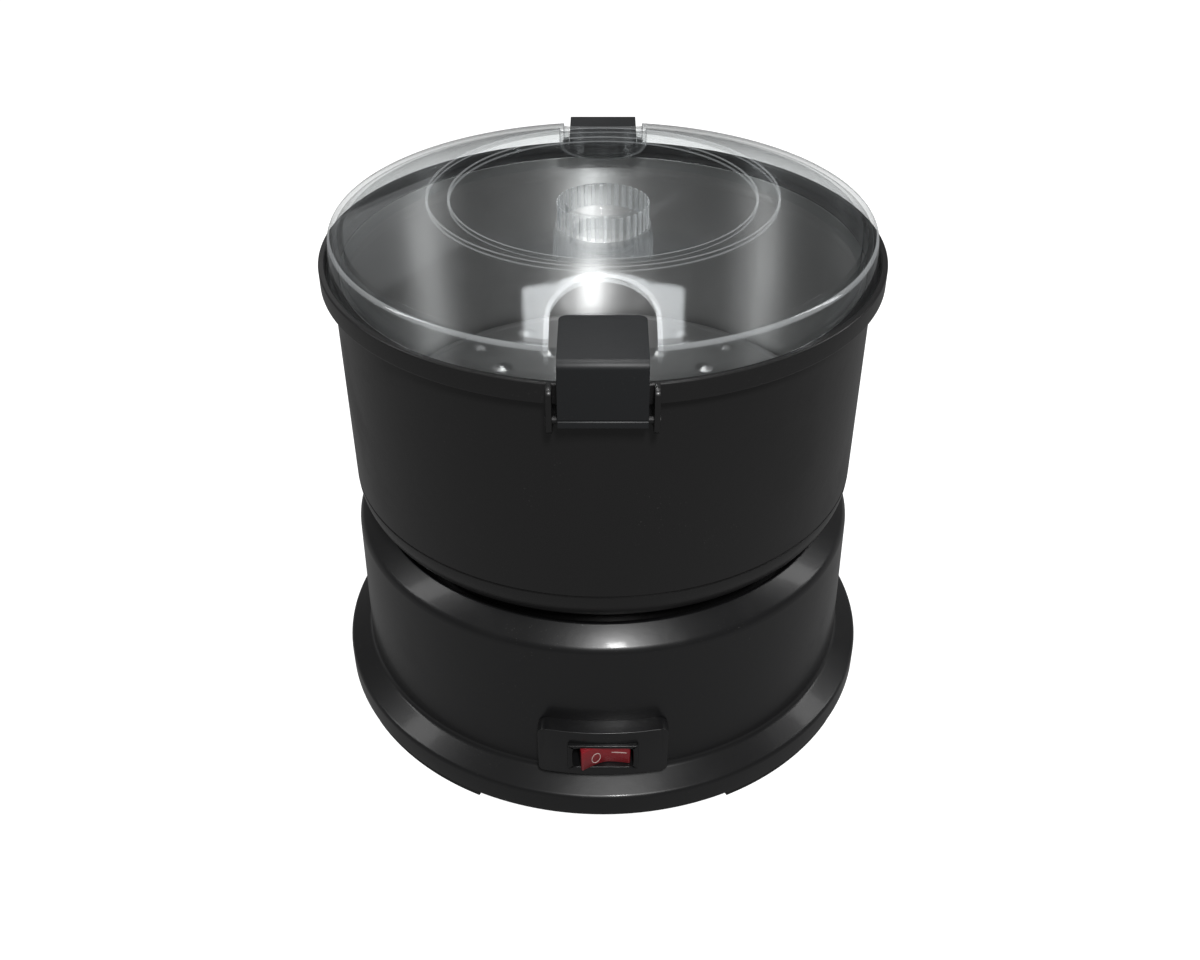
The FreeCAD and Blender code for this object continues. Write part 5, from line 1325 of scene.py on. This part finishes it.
class PEELER_OT_stage(bpy.types.Operator):
    """Set the pale floor, the soft lamps, the white surroundings and the camera"""
    bl_idname = "peeler.stage"
    bl_label = "Stage"

    def execute(self, context):
        s = context.scene.peeler_stage
        rest()
        make_floor(s.floor_size, context.scene.peeler_colours.floor)
        for lamp in LAMPS:
            add_lamp(*lamp)
        make_world()
        bpy.ops.object.camera_add(location=(0, -s.camera_back, s.camera_up),
                                  rotation=(s.camera_tilt, 0, 0))
        camera = context.object
        camera.data.lens = s.lens
        camera.data.shift_x = -0.0025
        camera.data.clip_start = 0.01
        context.scene.camera = camera
        context.scene.view_settings.view_transform = "Standard"
        rest()
        return {"FINISHED"}


# Panel and registration

OPERATORS = (PEELER_OT_base, PEELER_OT_switch, PEELER_OT_gland, PEELER_OT_bowl, PEELER_OT_disc,
             PEELER_OT_lid, PEELER_OT_latches, PEELER_OT_inner, PEELER_OT_stage)
GROUPS = {"peeler_base": PeelerBase, "peeler_switch": PeelerSwitch, "peeler_bowl": PeelerBowl,
          "peeler_disc": PeelerDisc, "peeler_lid": PeelerLid, "peeler_latch": PeelerLatch,
          "peeler_colours": PeelerColours, "peeler_stage": PeelerStage}


class PEELER_PT_panel(bpy.types.Panel):
    """The steps that build the peeler, and its colours"""
    bl_idname = "PEELER_PT_panel"
    bl_label = "Potato peeler"
    bl_space_type = "VIEW_3D"
    bl_region_type = "UI"
    bl_category = "Peeler"

    def draw(self, context):
        for operator in OPERATORS:
            self.layout.operator(operator.bl_idname)
        for name in PeelerColours.__annotations__:
            self.layout.prop(context.scene.peeler_colours, name)


def register():
    for group in GROUPS.values():
        bpy.utils.register_class(group)
    for name, group in GROUPS.items():
        setattr(bpy.types.Scene, name, bpy.props.PointerProperty(type=group))
    for operator in OPERATORS:
        bpy.utils.register_class(operator)
    bpy.utils.register_class(PEELER_PT_panel)


def unregister():
    bpy.utils.unregister_class(PEELER_PT_panel)
    for operator in reversed(OPERATORS):
        bpy.utils.unregister_class(operator)
    for name in GROUPS:
        delattr(bpy.types.Scene, name)
    for group in reversed(list(GROUPS.values())):
        bpy.utils.unregister_class(group)


def main():
    register()
    make_finishes()
    bpy.ops.peeler.base()
    bpy.ops.peeler.switch()
    bpy.ops.peeler.gland()
    bpy.ops.peeler.bowl()
    bpy.ops.peeler.disc()
    bpy.ops.peeler.lid()
    bpy.ops.peeler.latches()
    bpy.ops.peeler.inner()
    bpy.ops.peeler.stage()


if __name__ == "__main__":
    main()
